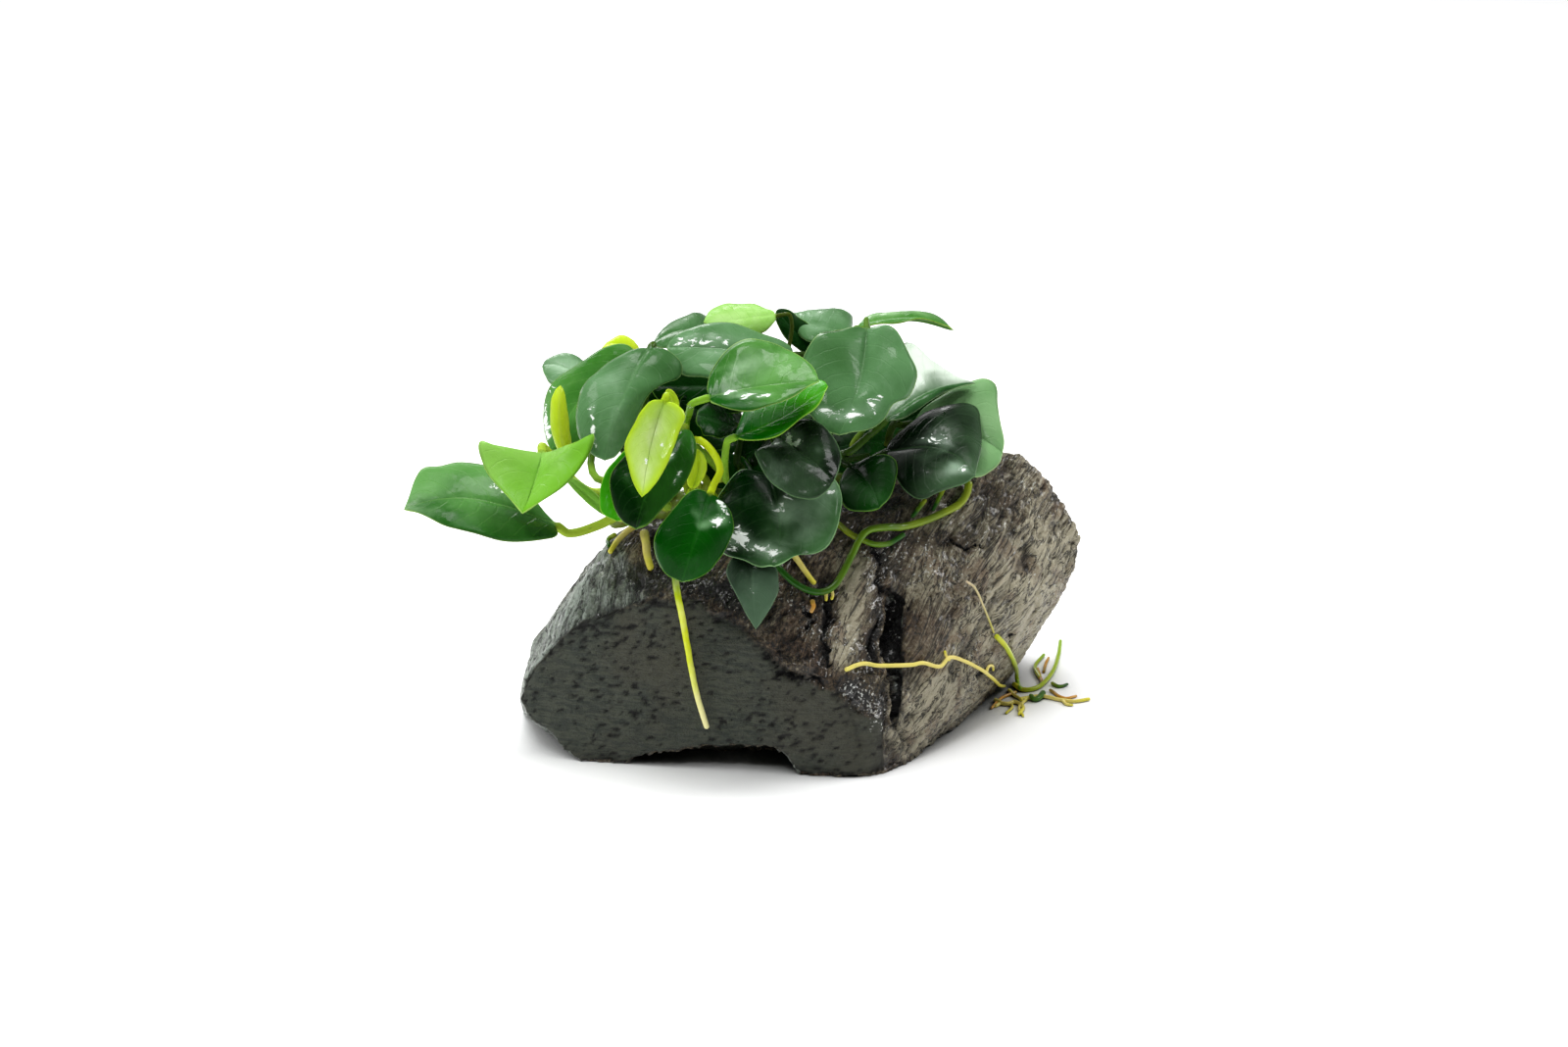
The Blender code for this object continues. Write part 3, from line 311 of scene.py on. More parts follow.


# each leaf: look, base, middle, tip and both edges of its blade, each as sighted across and down with its
# depth, seat on the stem and lean, the stalk's way, both outlines, and what differs from the common leaf:
# the side and the end that are brighter as painted light, spots of painted sheen and of painted glints
# (place along, place across, both their sizes, strength), gloss of the wet film, light on the stalk with
# painted shade where it is low, and form
LEAVES = [
    leaf("far_left", "olive", (569, 537, -20), (490, 511, -20), (412, 520, -24), (497, 550, -31),
         (480, 472, -9), (0.1, -60), stalk=[(610, 536, -19)],
         out_a=[(569, 545), (562, 550), (540, 553), (515, 551), (490, 547), (460, 538), (432, 526)],
         out_b=[(561, 527), (545, 508), (520, 486), (491, 473), (468, 470), (448, 476), (432, 478),
         (424, 487), (418, 503)],
         stalk_size=1.25, side=0.7, bloom=[(1.0, 0.0, 0.16, 1.4, 0.8), (0.3, 0.35, 0.2, 0.3, 0.3)],
         glints=[(0.35, 0.45, 0.05, 0.12, 0.7)], gloss=0.3, lit=1.0, cup=0.05),
    leaf("light_left", "light", (553, 462, -15), (548, 487, -24), (533, 524, -36), (488, 450, -22),
         (606, 442, -29), (0.3, -25), stalk=[(602, 503, -15), (575, 482, -12)],
         out_a=[(536, 460), (515, 455), (500, 452), (489, 450), (490, 466), (499, 485), (512, 501),
         (524, 514)],
         out_b=[(565, 460), (583, 453), (599, 445), (606, 442), (604, 459), (594, 476), (578, 493),
         (557, 509), (545, 517)],
         side=-0.5, tipward=-0.7, gloss=0.1, lit=1.0, cup=0.03, lump=0.12, wave=0.2, groove=0.0,
         stalk_size=1.25),
    leaf("left_front", "grey", (664, 354, -10), (638, 402, -22), (617, 470, -26), (588, 415, -14),
         (697, 383, -16), (0.62, -25), stalk=[(640, 480, -12), (660, 400, -3)],
         out_a=[(645, 356), (626, 366), (610, 379), (598, 388), (590, 404), (588, 425), (591, 446),
         (603, 463)],
         out_b=[(682, 358), (696, 371), (694, 384), (676, 393), (661, 404), (650, 425), (640, 448),
         (629, 465)],
         side=-0.4, tipward=0.5, bloom=[(0.35, -0.4, 0.25, 0.35, 0.25), (0.8, 0.2, 0.2, 0.6, 0.3)],
         glints=[(0.61, -0.5, 0.05, 0.08, 0.85), (0.87, -0.45, 0.04, 0.1, 0.85),
         (0.75, -0.45, 0.08, 0.05, 0.6)], gloss=0.3, lit=0.4, neck=1.2, groove=0.05),
    leaf("left_back", "mid", (655, 365, 12), (610, 388, 8), (562, 460, -2), (576, 374, 16), (640, 430, 2),
         (0.45, 25), stalk=[(606, 485, -4), (612, 440, 12), (640, 392, 20)],
         out_a=[(640, 352), (620, 354), (600, 363), (580, 377), (563, 393), (554, 415), (555, 440)],
         out_b=[(655, 385), (645, 405), (628, 428), (605, 446), (582, 458)],
         glints=[(0.86, -0.75, 0.1, 0.25, 0.7), (0.7, -0.85, 0.12, 0.12, 0.6)], gloss=0.3, lit=0.8),
    leaf("spear_left", "yellow", (575, 468, -9), (571, 430, -10), (572, 393, -6), (561, 425, -7),
         (581, 437, -7), (0.05, 25), stalk=[(600, 500, -8)],
         out_a=[(567, 455), (562, 435), (562, 412), (567, 398)],
         out_b=[(583, 455), (581, 435), (578, 412), (575, 398)],
         wave=0.1, lump=0.1, gloss=0.3, lit=1.0),
    leaf("grey_back", "grey", (606, 395, 24), (578, 376, 30), (553, 374, 32), (575, 361, 36),
         (575, 395, 22), (0.8, 60), stalk=[(626, 440, 18)],
         out_a=[(600, 372), (590, 364), (572, 361), (558, 366)],
         out_b=[(596, 398), (580, 396), (565, 392), (556, 384)],
         bloom=[(0.5, 0.0, 0.5, 1.0, 0.5)], gloss=0.3),
    leaf("yellow_behind", "yellow", (652, 362, 24), (632, 352, 22), (614, 355, 20), (636, 344, 30),
         (630, 363, 18), (1.2, 50), stalk=[(658, 440, 14), (665, 380, 24)],
         out_a=[(648, 350), (637, 344), (625, 346)],
         out_b=[(645, 362), (632, 364), (620, 361)],
         gloss=0.2),
    leaf("yellow_front", "young", (678, 409, -40), (666, 448, -44), (655, 507, -54), (638, 452, -50),
         (699, 424, -46), (1.15, -20), stalk=[(676, 455, -18), (679, 421, -27)],
         out_a=[(666, 408), (655, 418), (646, 434), (638, 452), (639, 470), (644, 487), (650, 499)],
         out_b=[(690, 412), (699, 423), (694, 438), (689, 455), (680, 474), (671, 491), (663, 501)],
         cup=0.02, neck=1.4, gloss=0.5, lit=1.0, tipward=0.2, lump=0.1, wave=0.2, groove=0.0,
         bloom=[(0.5, 0.0, 0.5, 0.6, 0.6)], glints=[(0.7, -0.1, 0.04, 0.08, 0.8),
         (0.48, 0.5, 0.05, 0.1, 0.7)]),
    leaf("dark_front", "deep", (696, 438, -29), (669, 482, -41), (649, 540, -46), (622, 495, -38),
         (712, 464, -38), (1.45, -65), stalk=[(694, 470, -23)],
         out_a=[(680, 437), (658, 447), (638, 463), (626, 480), (622, 498), (626, 518), (636, 533)],
         out_b=[(706, 440), (711, 456), (709, 472), (700, 490), (686, 510), (670, 526), (660, 535)],
         side=1.0, tipward=-0.4, shade=0.22, gloss=0.25, lit=0.6, neck=1.4,
         bloom=[(0.32, 0.3, 0.1, 0.2, 0.25)], glints=[(0.32, 0.22, 0.06, 0.12, 1.0),
         (0.5, 0.75, 0.08, 0.08, 0.7)]),
    leaf("light_behind", "vivid", (656, 456, -27), (638, 492, -32), (630, 532, -38), (611, 508, -32),
         (658, 515, -34), (1.0, -70), stalk=[(656, 480, -14)],
         out_a=[(640, 458), (625, 472), (615, 490), (611, 508), (615, 524)],
         out_b=[(662, 470), (664, 490), (658, 512), (645, 527)],
         neck=2.0, gloss=0.2, lit=0.7),
    leaf("sheath", "yellow", (706, 500, -24), (712, 480, -25), (712, 458, -27), (704, 480, -26),
         (720, 478, -26), (1.8, -75),
         out_a=[(701, 492), (704, 475), (708, 462)],
         out_b=[(713, 495), (721, 480), (719, 465)],
         wave=0.1, lump=0.1, gloss=0.3, lit=1.0),
    leaf("round_front", "round", (725, 503, -42), (711, 545, -52), (696, 594, -54), (666, 555, -50),
         (748, 543, -48), (1.6, -20), stalk=[(703, 482, -17), (707, 451, -21), (722, 455, -30),
         (735, 478, -36)],
         out_a=[(712, 499), (700, 505), (689, 516), (679, 528), (670, 543), (667, 560), (671, 573),
         (680, 586)],
         out_b=[(738, 511), (745, 522), (748, 538), (745, 552), (738, 565), (731, 574), (722, 584),
         (709, 591)],
         shade=0.15, bloom=[(0.28, -0.3, 0.05, 0.25, 0.3), (0.36, 0.1, 0.05, 0.25, 0.5),
         (0.3, 0.6, 0.05, 0.2, 0.5)], glints=[(0.18, 0.68, 0.06, 0.2, 1.4), (0.32, 0.45, 0.05, 0.3, 1.3)],
         gloss=0.2, lit=1.0, lump=0.2, groove=0.05),
    leaf("light_top", "top", (722, 406, -38), (772, 396, -36), (836, 389, -34), (772, 345, -24),
         (760, 419, -44), (2.0, -5), stalk=[(702, 445, -14), (704, 418, -24)],
         out_a=[(722, 392), (726, 377), (741, 358), (761, 347), (784, 347), (808, 359), (830, 375)],
         out_b=[(728, 412), (745, 418), (770, 418), (790, 413), (811, 403), (828, 394)],
         tipward=1.0, gloss=0.4, lit=1.0, groove=0.03, cup=0.03, side=-0.2, shade=0.1,
         bloom=[(0.42, -0.47, 0.2, 0.2, 0.4), (0.3, 0.3, 0.2, 0.3, 0.3)],
         glints=[(0.2, 0.05, 0.08, 0.15, 0.9), (0.33, 0.35, 0.08, 0.12, 1.0),
         (0.5, 0.5, 0.08, 0.12, 0.9)]),
    leaf("inner", "dim", (750, 434, -10), (729, 428, -16), (711, 424, -20), (730, 413, -8),
         (726, 446, -24), (2.35, -10), stalk=[(752, 470, -10)],
         gloss=0.1, side=-0.4),
    leaf("green_under", "vivid", (750, 446, -34), (795, 428, -34), (845, 394, -26), (800, 442, -38),
         (775, 397, -18), (2.1, -55), stalk=[(740, 486, -24)],
         out_a=[(762, 450), (782, 448), (800, 441), (820, 426), (838, 410)],
         out_b=[(752, 436), (765, 415), (790, 399), (815, 388), (837, 386)],
         neck=2.0, tipward=1.0, shade=0.12, gloss=0.15, lit=1.0, groove=0.03, cup=0.04,
         glints=[(0.25, -0.4, 0.05, 0.06, 0.7)]),
    leaf("dark_centre", "black", (795, 446, -26), (822, 466, -34), (851, 491, -42), (782, 487, -40),
         (846, 437, -28), (3.6, -30), stalk=[(802, 468, -10)],
         out_a=[(784, 454), (770, 460), (774, 473), (781, 485), (794, 496), (810, 507), (828, 511),
         (842, 502)],
         out_b=[(802, 437), (815, 429), (828, 427), (841, 435), (852, 448), (858, 463), (857, 478)],
         side=-0.4, tipward=-0.3, gloss=0.3, lump=0.5, shade=0.12, bloom=[(0.53, -0.63, 0.15, 0.3, 0.35),
         (0.2, 0.3, 0.1, 0.4, 0.3)], glints=[(0.15, 0.2, 0.06, 0.25, 1.0), (0.3, 0.15, 0.06, 0.12, 0.75),
         (0.2, -0.5, 0.05, 0.15, 0.8), (0.55, 0.35, 0.05, 0.1, 0.5)]),
    leaf("big_front", "front", (783, 482, -22), (795, 530, -34), (790, 578, -46), (730, 528, -34),
         (862, 512, -30), (2.75, -45),
         out_a=[(768, 479), (748, 487), (735, 500), (729, 522), (731, 548), (742, 568), (765, 574)],
         out_b=[(805, 480), (833, 483), (853, 490), (859, 506), (857, 530), (849, 551), (832, 563),
         (811, 571)],
         wave=1.0, waves=3.4, lump=0.5, side=0.8, tipward=0.4, shade=0.1, gloss=0.32,
         bloom=[(0.61, 0.39, 0.2, 0.35, 0.45), (0.38, 0.1, 0.12, 0.3, 0.4), (0.38, 0.8, 0.15, 0.2, 0.4),
         (0.8, -0.2, 0.12, 0.5, 0.4)], glints=[(0.64, -0.7, 0.06, 0.2, 1.05),
         (0.74, -0.45, 0.05, 0.2, 1.0), (0.84, -0.12, 0.04, 0.25, 1.0), (0.36, 0.05, 0.06, 0.16, 0.8),
         (0.38, 0.85, 0.06, 0.08, 0.8)]),
    leaf("big_right", "grey", (884, 334, 4), (878, 385, -9), (856, 444, -20), (820, 372, -8),
         (937, 386, -8), (4.35, -10), stalk=[(886, 430, 6), (892, 370, 12)],
         out_a=[(860, 335), (838, 341), (824, 354), (817, 372), (818, 395), (824, 418), (837, 436)],
         out_b=[(905, 333), (919, 343), (929, 362), (936, 384), (929, 402), (912, 413), (900, 430),
         (880, 440)],
         wave=0.5, waves=3.8, lump=0.45, side=0.6, lit=0.8, stalk_size=0.7, gloss=0.4,
         bloom=[(0.78, 0.15, 0.1, 0.6, 0.35), (0.58, 0.5, 0.15, 0.3, 0.25)],
         glints=[(0.79, -0.6, 0.04, 0.2, 0.95), (0.84, -0.2, 0.04, 0.35, 1.1),
         (0.79, 0.15, 0.04, 0.2, 1.0), (0.7, 0.55, 0.06, 0.2, 0.95)]),
    leaf("sheen_right", "sheen", (903, 430, -4), (948, 400, 5), (995, 391, 10), (933, 350, 19),
         (950, 413, 2), (3.85, -20), stalk=[(864, 462, -8), (886, 445, -6)],
         out_a=[(905, 405), (915, 370), (925, 348), (940, 362), (955, 373), (972, 383)],
         out_b=[(917, 429), (932, 421), (948, 411), (962, 401), (978, 396)],
         gloss=0.5, lit=0.5, side=-0.4, bloom=[(0.35, -0.75, 0.35, 0.5, 1.0),
         (0.8, -0.5, 0.35, 0.6, 1.0)]),
    leaf("far_right_front", "black", (903, 463, -4), (955, 458, -8), (995, 486, -18), (972, 407, 10),
         (938, 509, -20), (5.0, -50),
         out_a=[(906, 451), (925, 436), (950, 418), (975, 410), (994, 413), (1001, 433), (1001, 460)],
         out_b=[(911, 482), (924, 500), (941, 509), (958, 503), (975, 496), (987, 491)],
         lump=0.45, tipward=1.0, gloss=0.28, shade=0.22, bloom=[(0.33, -0.25, 0.12, 0.12, 0.15),
         (0.56, 0.0, 0.1, 0.12, 0.2), (0.78, 0.35, 0.12, 0.3, 0.6)],
         glints=[(0.45, -0.12, 0.2, 0.08, 0.75), (0.87, 0.25, 0.05, 0.2, 0.8)]),
    leaf("far_right_back", "pale_back", (930, 432, 12), (975, 437, 6), (1023, 463, 0), (1000, 384, 15),
         (985, 488, -7), (4.95, -12), stalk=[(914, 430, 9)],
         out_a=[(948, 412), (970, 397), (990, 390), (1007, 386), (1016, 392), (1018, 412), (1022, 435),
         (1025, 450)],
         out_b=[(945, 465), (970, 483), (997, 486), (1012, 480), (1021, 472)],
         gloss=0.2),
    leaf("small_right", "dim", (867, 476, -14), (887, 495, -20), (897, 519, -25), (912, 470, -15),
         (864, 518, -26), (4.45, -55),
         out_a=[(885, 466), (905, 465), (915, 471), (914, 490), (909, 505)],
         out_b=[(858, 485), (856, 502), (863, 517), (880, 523)],
         side=-0.3, tipward=0.8, shade=0.15, gloss=0.15, groove=0.05),
    leaf("low_front", "slate", (766, 568, -38), (768, 600, -46), (771, 642, -50), (741, 592, -43),
         (798, 595, -43), (2.55, -85), stalk=[(762, 535, -25)],
         out_a=[(750, 569), (741, 580), (744, 593), (752, 608), (761, 626)],
         out_b=[(782, 571), (793, 584), (795, 600), (788, 617), (779, 632)],
         tipward=0.7, shade=0.05, gloss=0.3, groove=0.05, lump=0.6, wave=0.6,
         glints=[(0.2, 0.2, 0.06, 0.2, 0.6), (0.45, 0.0, 0.1, 0.2, 0.45)]),
    leaf("yellow_top", "light", (793, 322, 11), (755, 326, 12), (718, 329, 12), (744, 308, 26),
         (768, 341, 9), (2.9, 30), stalk=[(790, 420, 8), (805, 354, 12)],
         out_a=[(785, 316), (772, 311), (755, 311), (741, 309), (729, 315), (721, 322)],
         out_b=[(790, 330), (782, 338), (768, 341), (745, 338), (728, 334)],
         shade=-0.3, bloom=[(0.5, 0.0, 0.6, 0.8, 0.35)], gloss=0.2, stalk_size=0.6),
    leaf("dark_top_left", "grey", (722, 336, 18), (695, 338, 14), (666, 352, 8), (695, 323, 30),
         (690, 358, 6), (1.9, 40), stalk=[(722, 430, 12), (732, 360, 20)],
         out_a=[(718, 322), (700, 325), (685, 331), (672, 341)],
         out_b=[(715, 350), (695, 358), (678, 356)],
         shade=0.3, gloss=0.3),
    leaf("dark_top_mid", "grey", (812, 362, 2), (735, 357, -2), (680, 355, -1), (730, 329, 6),
         (725, 392, -14), (3.35, 0), stalk=[(812, 430, 0), (822, 385, 6)],
         out_a=[(806, 354), (785, 342), (760, 333), (735, 329), (712, 331), (693, 341), (684, 349)],
         out_b=[(805, 378), (780, 390), (750, 392), (720, 386), (698, 382), (688, 368)],
         gloss=0.35, side=-0.2, bloom=[(0.55, 0.0, 0.4, 0.8, 0.2)], glints=[(0.77, -0.3, 0.12, 0.4, 0.65),
         (0.5, -0.1, 0.15, 0.3, 0.5)]),
    leaf("grey_top", "grey", (868, 341, 18), (832, 332, 17), (800, 321, 22), (840, 320, 32),
         (826, 352, 10), (3.9, 30), stalk=[(858, 430, 12), (872, 370, 20)],
         out_a=[(866, 321), (840, 320), (818, 321)],
         out_b=[(862, 337), (845, 340), (828, 350), (813, 337), (804, 327)],
         bloom=[(0.5, 0.0, 0.4, 0.8, 0.3)], gloss=0.4),
    leaf("spike_top", "mid", (874, 334, 27), (915, 325, 26), (973, 337, 28), (915, 332, 22),
         (915, 319, 31), (4.62, 45), stalk=[(900, 430, 18), (882, 360, 28)],
         out_a=[(885, 333), (905, 330), (925, 328), (945, 327), (962, 330)],
         out_b=[(885, 322), (905, 320), (922, 318), (945, 320), (962, 326)],
         bloom=[(0.5, 0.6, 0.5, 0.4, 0.6)], gloss=0.4, neck=1.0, lit=0.8, stalk_size=0.7),
    back_leaf("rear_left", "deep", (-39, 23, 61), (-44, 34, 62), (-49, 46, 55), (-33, 39, 59),
              (-55, 30, 56), (0.3, 80), stalk=[(-36, 10, 57)]),
    back_leaf("rear_left_low", "mid", (-24, 17, 60), (-28, 29, 58), (-32, 43, 50), (-16, 32, 55),
              (-38, 26, 54), (1.05, 85)),
    back_leaf("rear_top_left", "grey", (-11, 25, 81), (-14, 35, 80), (-16, 47, 71), (-4, 34, 77),
              (-28, 34, 76), (2.3, 55), stalk=[(-12, 14, 68)]),
    back_leaf("rear_middle", "front", (2, 18, 64), (2, 32, 62), (1, 46, 54), (13, 32, 59), (-10, 32, 59),
              (2.9, 85)),
    back_leaf("rear_top_right", "mid", (14, 30, 76), (15, 41, 74), (17, 52, 66), (26, 38, 70),
              (3, 41, 71), (4.25, 70), stalk=[(14, 20, 66)]),
    back_leaf("rear_right", "grey", (38, 26, 68), (41, 37, 68), (43, 48, 60), (50, 33, 65), (31, 41, 66),
              (5.4, 60)),
    back_leaf("rear_right_low", "deep", (24, 26, 60), (26, 38, 58), (28, 51, 50), (37, 36, 55),
              (16, 41, 55), (4.85, 85)),
]

# small leaves deep in the crown, most of them dark as painted shade
INNER_LEAVES = [
    dim_leaf("deep_middle", (756, 452, 4), (727, 424, 4), (694, 408, 2), (742, 396, 12), (716, 456, -4),
             (2.4, 20),
             side=-0.2),
    dim_leaf("deep_upper", (790, 396, 7), (726, 394, 6), (664, 394, 4), (726, 370, 10), (726, 424, 2),
             (2.7, 20), stalk=[(800, 430, 8)],
             side=-0.2),
    dim_leaf("deep_centre", (806, 446, 6), (778, 456, 2), (748, 472, 0), (782, 424, 12), (776, 490, -6),
             (3.2, 15)),
    dim_leaf("deep_low", (770, 492, -7), (742, 484, -8), (712, 470, -8), (748, 462, -4), (738, 508, -10),
             (2.6, -50)),
    dim_leaf("deep_right", (914, 452, 10), (880, 452, 6), (842, 462, 2), (880, 426, 14), (880, 486, -2),
             (4.1, 20)),
    dim_leaf("deep_far", (900, 446, 15), (936, 424, 18), (976, 404, 21), (928, 396, 24), (944, 452, 12),
             (4.7, 30)),
    dim_leaf("deep_gap", (704, 420, 6), (678, 411, 5), (652, 409, 4), (676, 394, 8), (680, 430, 2),
             (2.0, 30)),
    dim_leaf("deep_left", (668, 452, 6), (650, 470, 2), (634, 500, -4), (640, 456, 6), (672, 486, -4),
             (1.1, 25)),
    leaf("top_fold", "dim", (838, 362, 14), (815, 342, 15), (793, 316, 17), (806, 350, 14),
         (826, 332, 17), (3.6, 25),
         a=(0.4, 0.6), b=(0.4, 0.6), gloss=0.2, lit=0.0, tipward=0.4),
    leaf("bud", "yellow", (690, 420, -28), (686, 408, -29), (682, 397, -30), (680, 408, -29),
         (692, 407, -29), (1.75, -30), stalk=[(694, 460, -18)],
         a=(0.4, 0.6), b=(0.4, 0.6), wave=0.05, lump=0.05, lit=0.6),
    leaf("sheath_left", "light", (622, 525, -17), (603, 508, -17), (578, 487, -16), (600, 514, -17),
         (607, 502, -17), (0.2, -75),
         a=(0.3, 0.5), b=(0.3, 0.5), wave=0.05, lump=0.05, neck=1.0, lit=1.0, gloss=0.2),
]

def root(name, look, radius, carrier, *line):
    """A root on the wood or the floor: where it is sighted, and how far it stands off where it does."""
    return {"name": name, "look": look, "slot": ROOT_LOOKS[look][0], "radius": radius, "carrier": carrier,
            "line": line}


# looks of the roots: slot, tones of the start, middle and end, share of specks, turns between the tones
ROOT_LOOKS = {
    "green": ("root_green", (140, 156, 30), (92, 130, 14), (28, 84, 6), 0.12, (0.1, 0.5, 0.55, 0.8)),
    "bright": ("root_green", (206, 206, 50), (176, 194, 26), (134, 172, 20), 0.1),
    "hanging": ("root_green", (64, 132, 12), (216, 228, 10), (252, 246, 176), 0.03, (0.2, 0.5, 0.72, 0.98)),
    "pale": ("root_pale", (236, 222, 120), (232, 214, 124), (222, 212, 70), 0.15),
    "hair": ("root_pale", (228, 206, 176), (224, 208, 170), (196, 190, 90), 0.1),
    "orange": ("root_pale", (150, 120, 30), (200, 140, 44), (210, 160, 84), 0.4),
    "dark": ("root_green", (52, 96, 20), (60, 106, 22), (80, 124, 30), 0.4),
}
STEM_TONES = ((96, 116, 40), (84, 108, 34), (120, 130, 60))
ROOTS = [
    root("front_hanging", "hanging", 0.85, "wood", (694, 562, 0.6), (691, 580, 0.9), (691, 594, 1.1),
         (693, 607, 1.1), (697, 628, 0.5), (702, 652, 0.3), (707, 682, 0.2), (713, 710, 0.1),
         (722, 740, 0.1)),
    root("left_short", "pale", 0.8, "wood", (648, 541), (640, 547), (631, 556), (624, 566)),
    root("left_thick", "pale", 1.05, "wood", (659, 549), (661, 559), (662, 571), (665, 583)),
    root("right_loop", "green", 0.92, "wood", (986, 496), (983, 507), (975, 517), (960, 525), (940, 533),
         (918, 539), (898, 541, 1.4), (881, 550, 2.6), (868, 570, 0.8), (858, 589), (848, 601),
         (835, 606), (821, 603), (808, 595), (797, 584), (789, 572)),
    root("right_second", "green", 0.75, "wood", (857, 539), (867, 547, 0.2), (879, 553, 0.2), (891, 557),
         (904, 556), (913, 551), (919, 547)),
    root("pale_straight", "pale", 0.75, "wood", (808, 566), (815, 576), (822, 586), (829, 596)),
    root("upper_left", "green", 0.6, "wood", (941, 512), (935, 520), (929, 528)),
    root("upper_right", "green", 0.6, "wood", (960, 500), (955, 511), (950, 521)),
    root("side_long", "pale", 0.5, "wood", (862, 684), (878, 678), (894, 680), (928, 679), (940, 677),
         (957, 680), (966, 671), (980, 673), (1000, 683), (1006, 687), (1012, 692), (1017, 697),
         (1025, 700)),
    root("floor_main", "bright", 0.6, "floor", (1035, 698), (1043, 703), (1052, 703), (1062, 699),
         (1074, 685), (1080, 668), (1082, 654)),
    root("floor_fork", "bright", 0.5, "floor", (1061, 691), (1056, 680), (1065, 668)),
    root("floor_side", "pale", 0.5, "floor", (1042, 713), (1062, 710), (1084, 714), (1098, 715),
         (1111, 713)),
    root("floor_near", "pale", 0.5, "floor", (1016, 714), (1026, 718), (1036, 716), (1044, 721),
         (1040, 728)),
    root("side_hair", "hair", 0.28, "wood", (985, 594), (993, 600), (1003, 622), (1012, 645)),
]
# thin roots that branch off the others
ROOTLETS = [
    root("hair_green", "bright", 0.62, "wood", (1014, 649), (1022, 657), (1029, 668), (1034, 682),
         (1038, 694), (1041, 702)),
    root("spur", "pale", 0.4, "wood", (966, 673), (963, 669), (962, 665)),
    root("curl", "pale", 0.35, "wood", (1004, 684), (1006, 679), (1010, 678), (1011, 682)),
    root("stub_left", "pale", 0.45, "wood", (842, 603), (842, 608), (842, 613)),
    root("stub_right", "pale", 0.4, "wood", (848, 604), (849, 608), (848, 612)),
    root("stub_lower", "orange", 0.55, "wood", (828, 615), (829, 620), (827, 625)),
    root("stub_green", "green", 0.6, "wood", (628, 549), (624, 553), (622, 560)),
    root("fork_left", "orange", 0.45, "floor", (1064, 698), (1061, 690), (1059, 682)),
    root("fork_right", "orange", 0.4, "floor", (1065, 685), (1067, 677), (1070, 671)),
    root("strand_left", "orange", 0.4, "floor", (1036, 706), (1022, 712), (1012, 722)),
    root("strand_near", "pale", 0.4, "floor", (1048, 712), (1040, 722), (1044, 730)),
    root("strand_right", "orange", 0.4, "floor", (1072, 704), (1086, 712), (1098, 710)),
    root("knot", "dark", 0.75, "floor", (1064, 707), (1061, 711), (1056, 713), (1052, 710)),
    root("floor_link", "pale", 0.45, "floor", (1030, 704), (1034, 708), (1040, 712), (1044, 716)),
    root("floor_twig", "pale", 0.4, "floor", (1016, 720), (1024, 717), (1033, 720), (1027, 727)),
    root("floor_end", "pale", 0.4, "floor", (1084, 714), (1088, 718), (1094, 719)),
    root("floor_up", "green", 0.45, "floor", (1074, 697), (1081, 700), (1089, 698)),
]


# lines and blades

def line_at(points, place):
    """A point on a smooth line through the given points; place counts in points."""
    last = len(points) - 1
    index = max(0, min(int(math.floor(place)), last - 1))
    part = place - index
    here, there = points[index], points[index + 1]
    span = (there - here).length
    before = points[index - 1] if index > 0 else here * 2 - there
    after = points[index + 2] if index + 2 <= last else there * 2 - here
    leave = (there - before).normalized() * span
    arrive = (after - here).normalized() * span
    square, cube = part ** 2, part ** 3
    return (here * (2 * cube - 3 * square + 1) + leave * (cube - 2 * square + part)
            + there * (3 * square - 2 * cube) + arrive * (cube - square))


def line_way(points, place):
    """Direction of a smooth line at a place."""
    return (line_at(points, place + 0.04) - line_at(points, place - 0.04)).normalized()


def smooth_step(low, high, value):
    """From 0 below low to 1 above high, eased."""
    part = min(1.0, max(0.0, (value - low) / (high - low)))
    return part * part * (3 - 2 * part)


def midrib(row, s):
    """Middle line of the blade from its base at 0 to its tip at 1."""
    return through_three(row["base"], row["mid"], row["tip"], s)


def half_width(profile, s):
    """Share of the full half width at s, and the place of the widest point."""
    rise, fall = profile
    widest = rise / (rise + fall)
    return (s / widest) ** rise * ((1 - s) / (1 - widest)) ** fall, widest


def through_three(base, mid, tip, s):
    """What goes from base at 0 through mid to tip at 1: a number or a point."""
    at = BLADE_MIDDLE
    k_base = (s - at) * (s - 1) / at
    k_mid = s * (s - 1) / (at * (at - 1))
    k_tip = s * (s - at) / (1 - at)
    return base * k_base + mid * k_mid + tip * k_tip


def outline_points(row, key):
    """Corners of one edge of a blade from base to tip; their depths follow its widest point."""
    base, mid, tip = row["places"][:3]
    edge = row["places"][3 if key == "a" else 4]
    flat = [base[:2]] + row["out_" + key] + [tip[:2]]
    steps = [math.dist(one, two) for one, two in zip(flat, flat[1:])]

    def rib(s):
        return [through_three(*measures, s) for measures in zip(base, mid, tip)]

    middle = rib(half_width(row[key], 0.5)[1])
    wide = max(math.dist(middle[:2], edge[:2]), 1.0)
    points = [row["base"]]
    for index, place in enumerate(row["out_" + key]):
        here = rib(sum(steps[:index + 1]) / sum(steps))
        out = min(OUTLINE_FARTHEST, math.dist(here[:2], place) / wide)
        points.append(sighted(*place, here[2] + out * (edge[2] - middle[2])))
    return points + [row["tip"]]


def even_spots(points, count):
    """Spots at even distances along a smooth line through points."""
    last = FINE_STEPS * count
    fine = [line_at(points, (len(points) - 1) * step / last) for step in range(last + 1)]
    lengths = [0.0]
    for one, two in zip(fine, fine[1:]):
        lengths.append(lengths[-1] + (two - one).length)
    spots, index = [], 0
    for step in range(count + 1):
        goal = lengths[-1] * step / count
        while index < len(fine) - 2 and lengths[index + 1] < goal:
            index += 1
        span = max(lengths[index + 1] - lengths[index], 1e-9)
        spots.append(fine[index].lerp(fine[index + 1], (goal - lengths[index]) / span))
    return spots


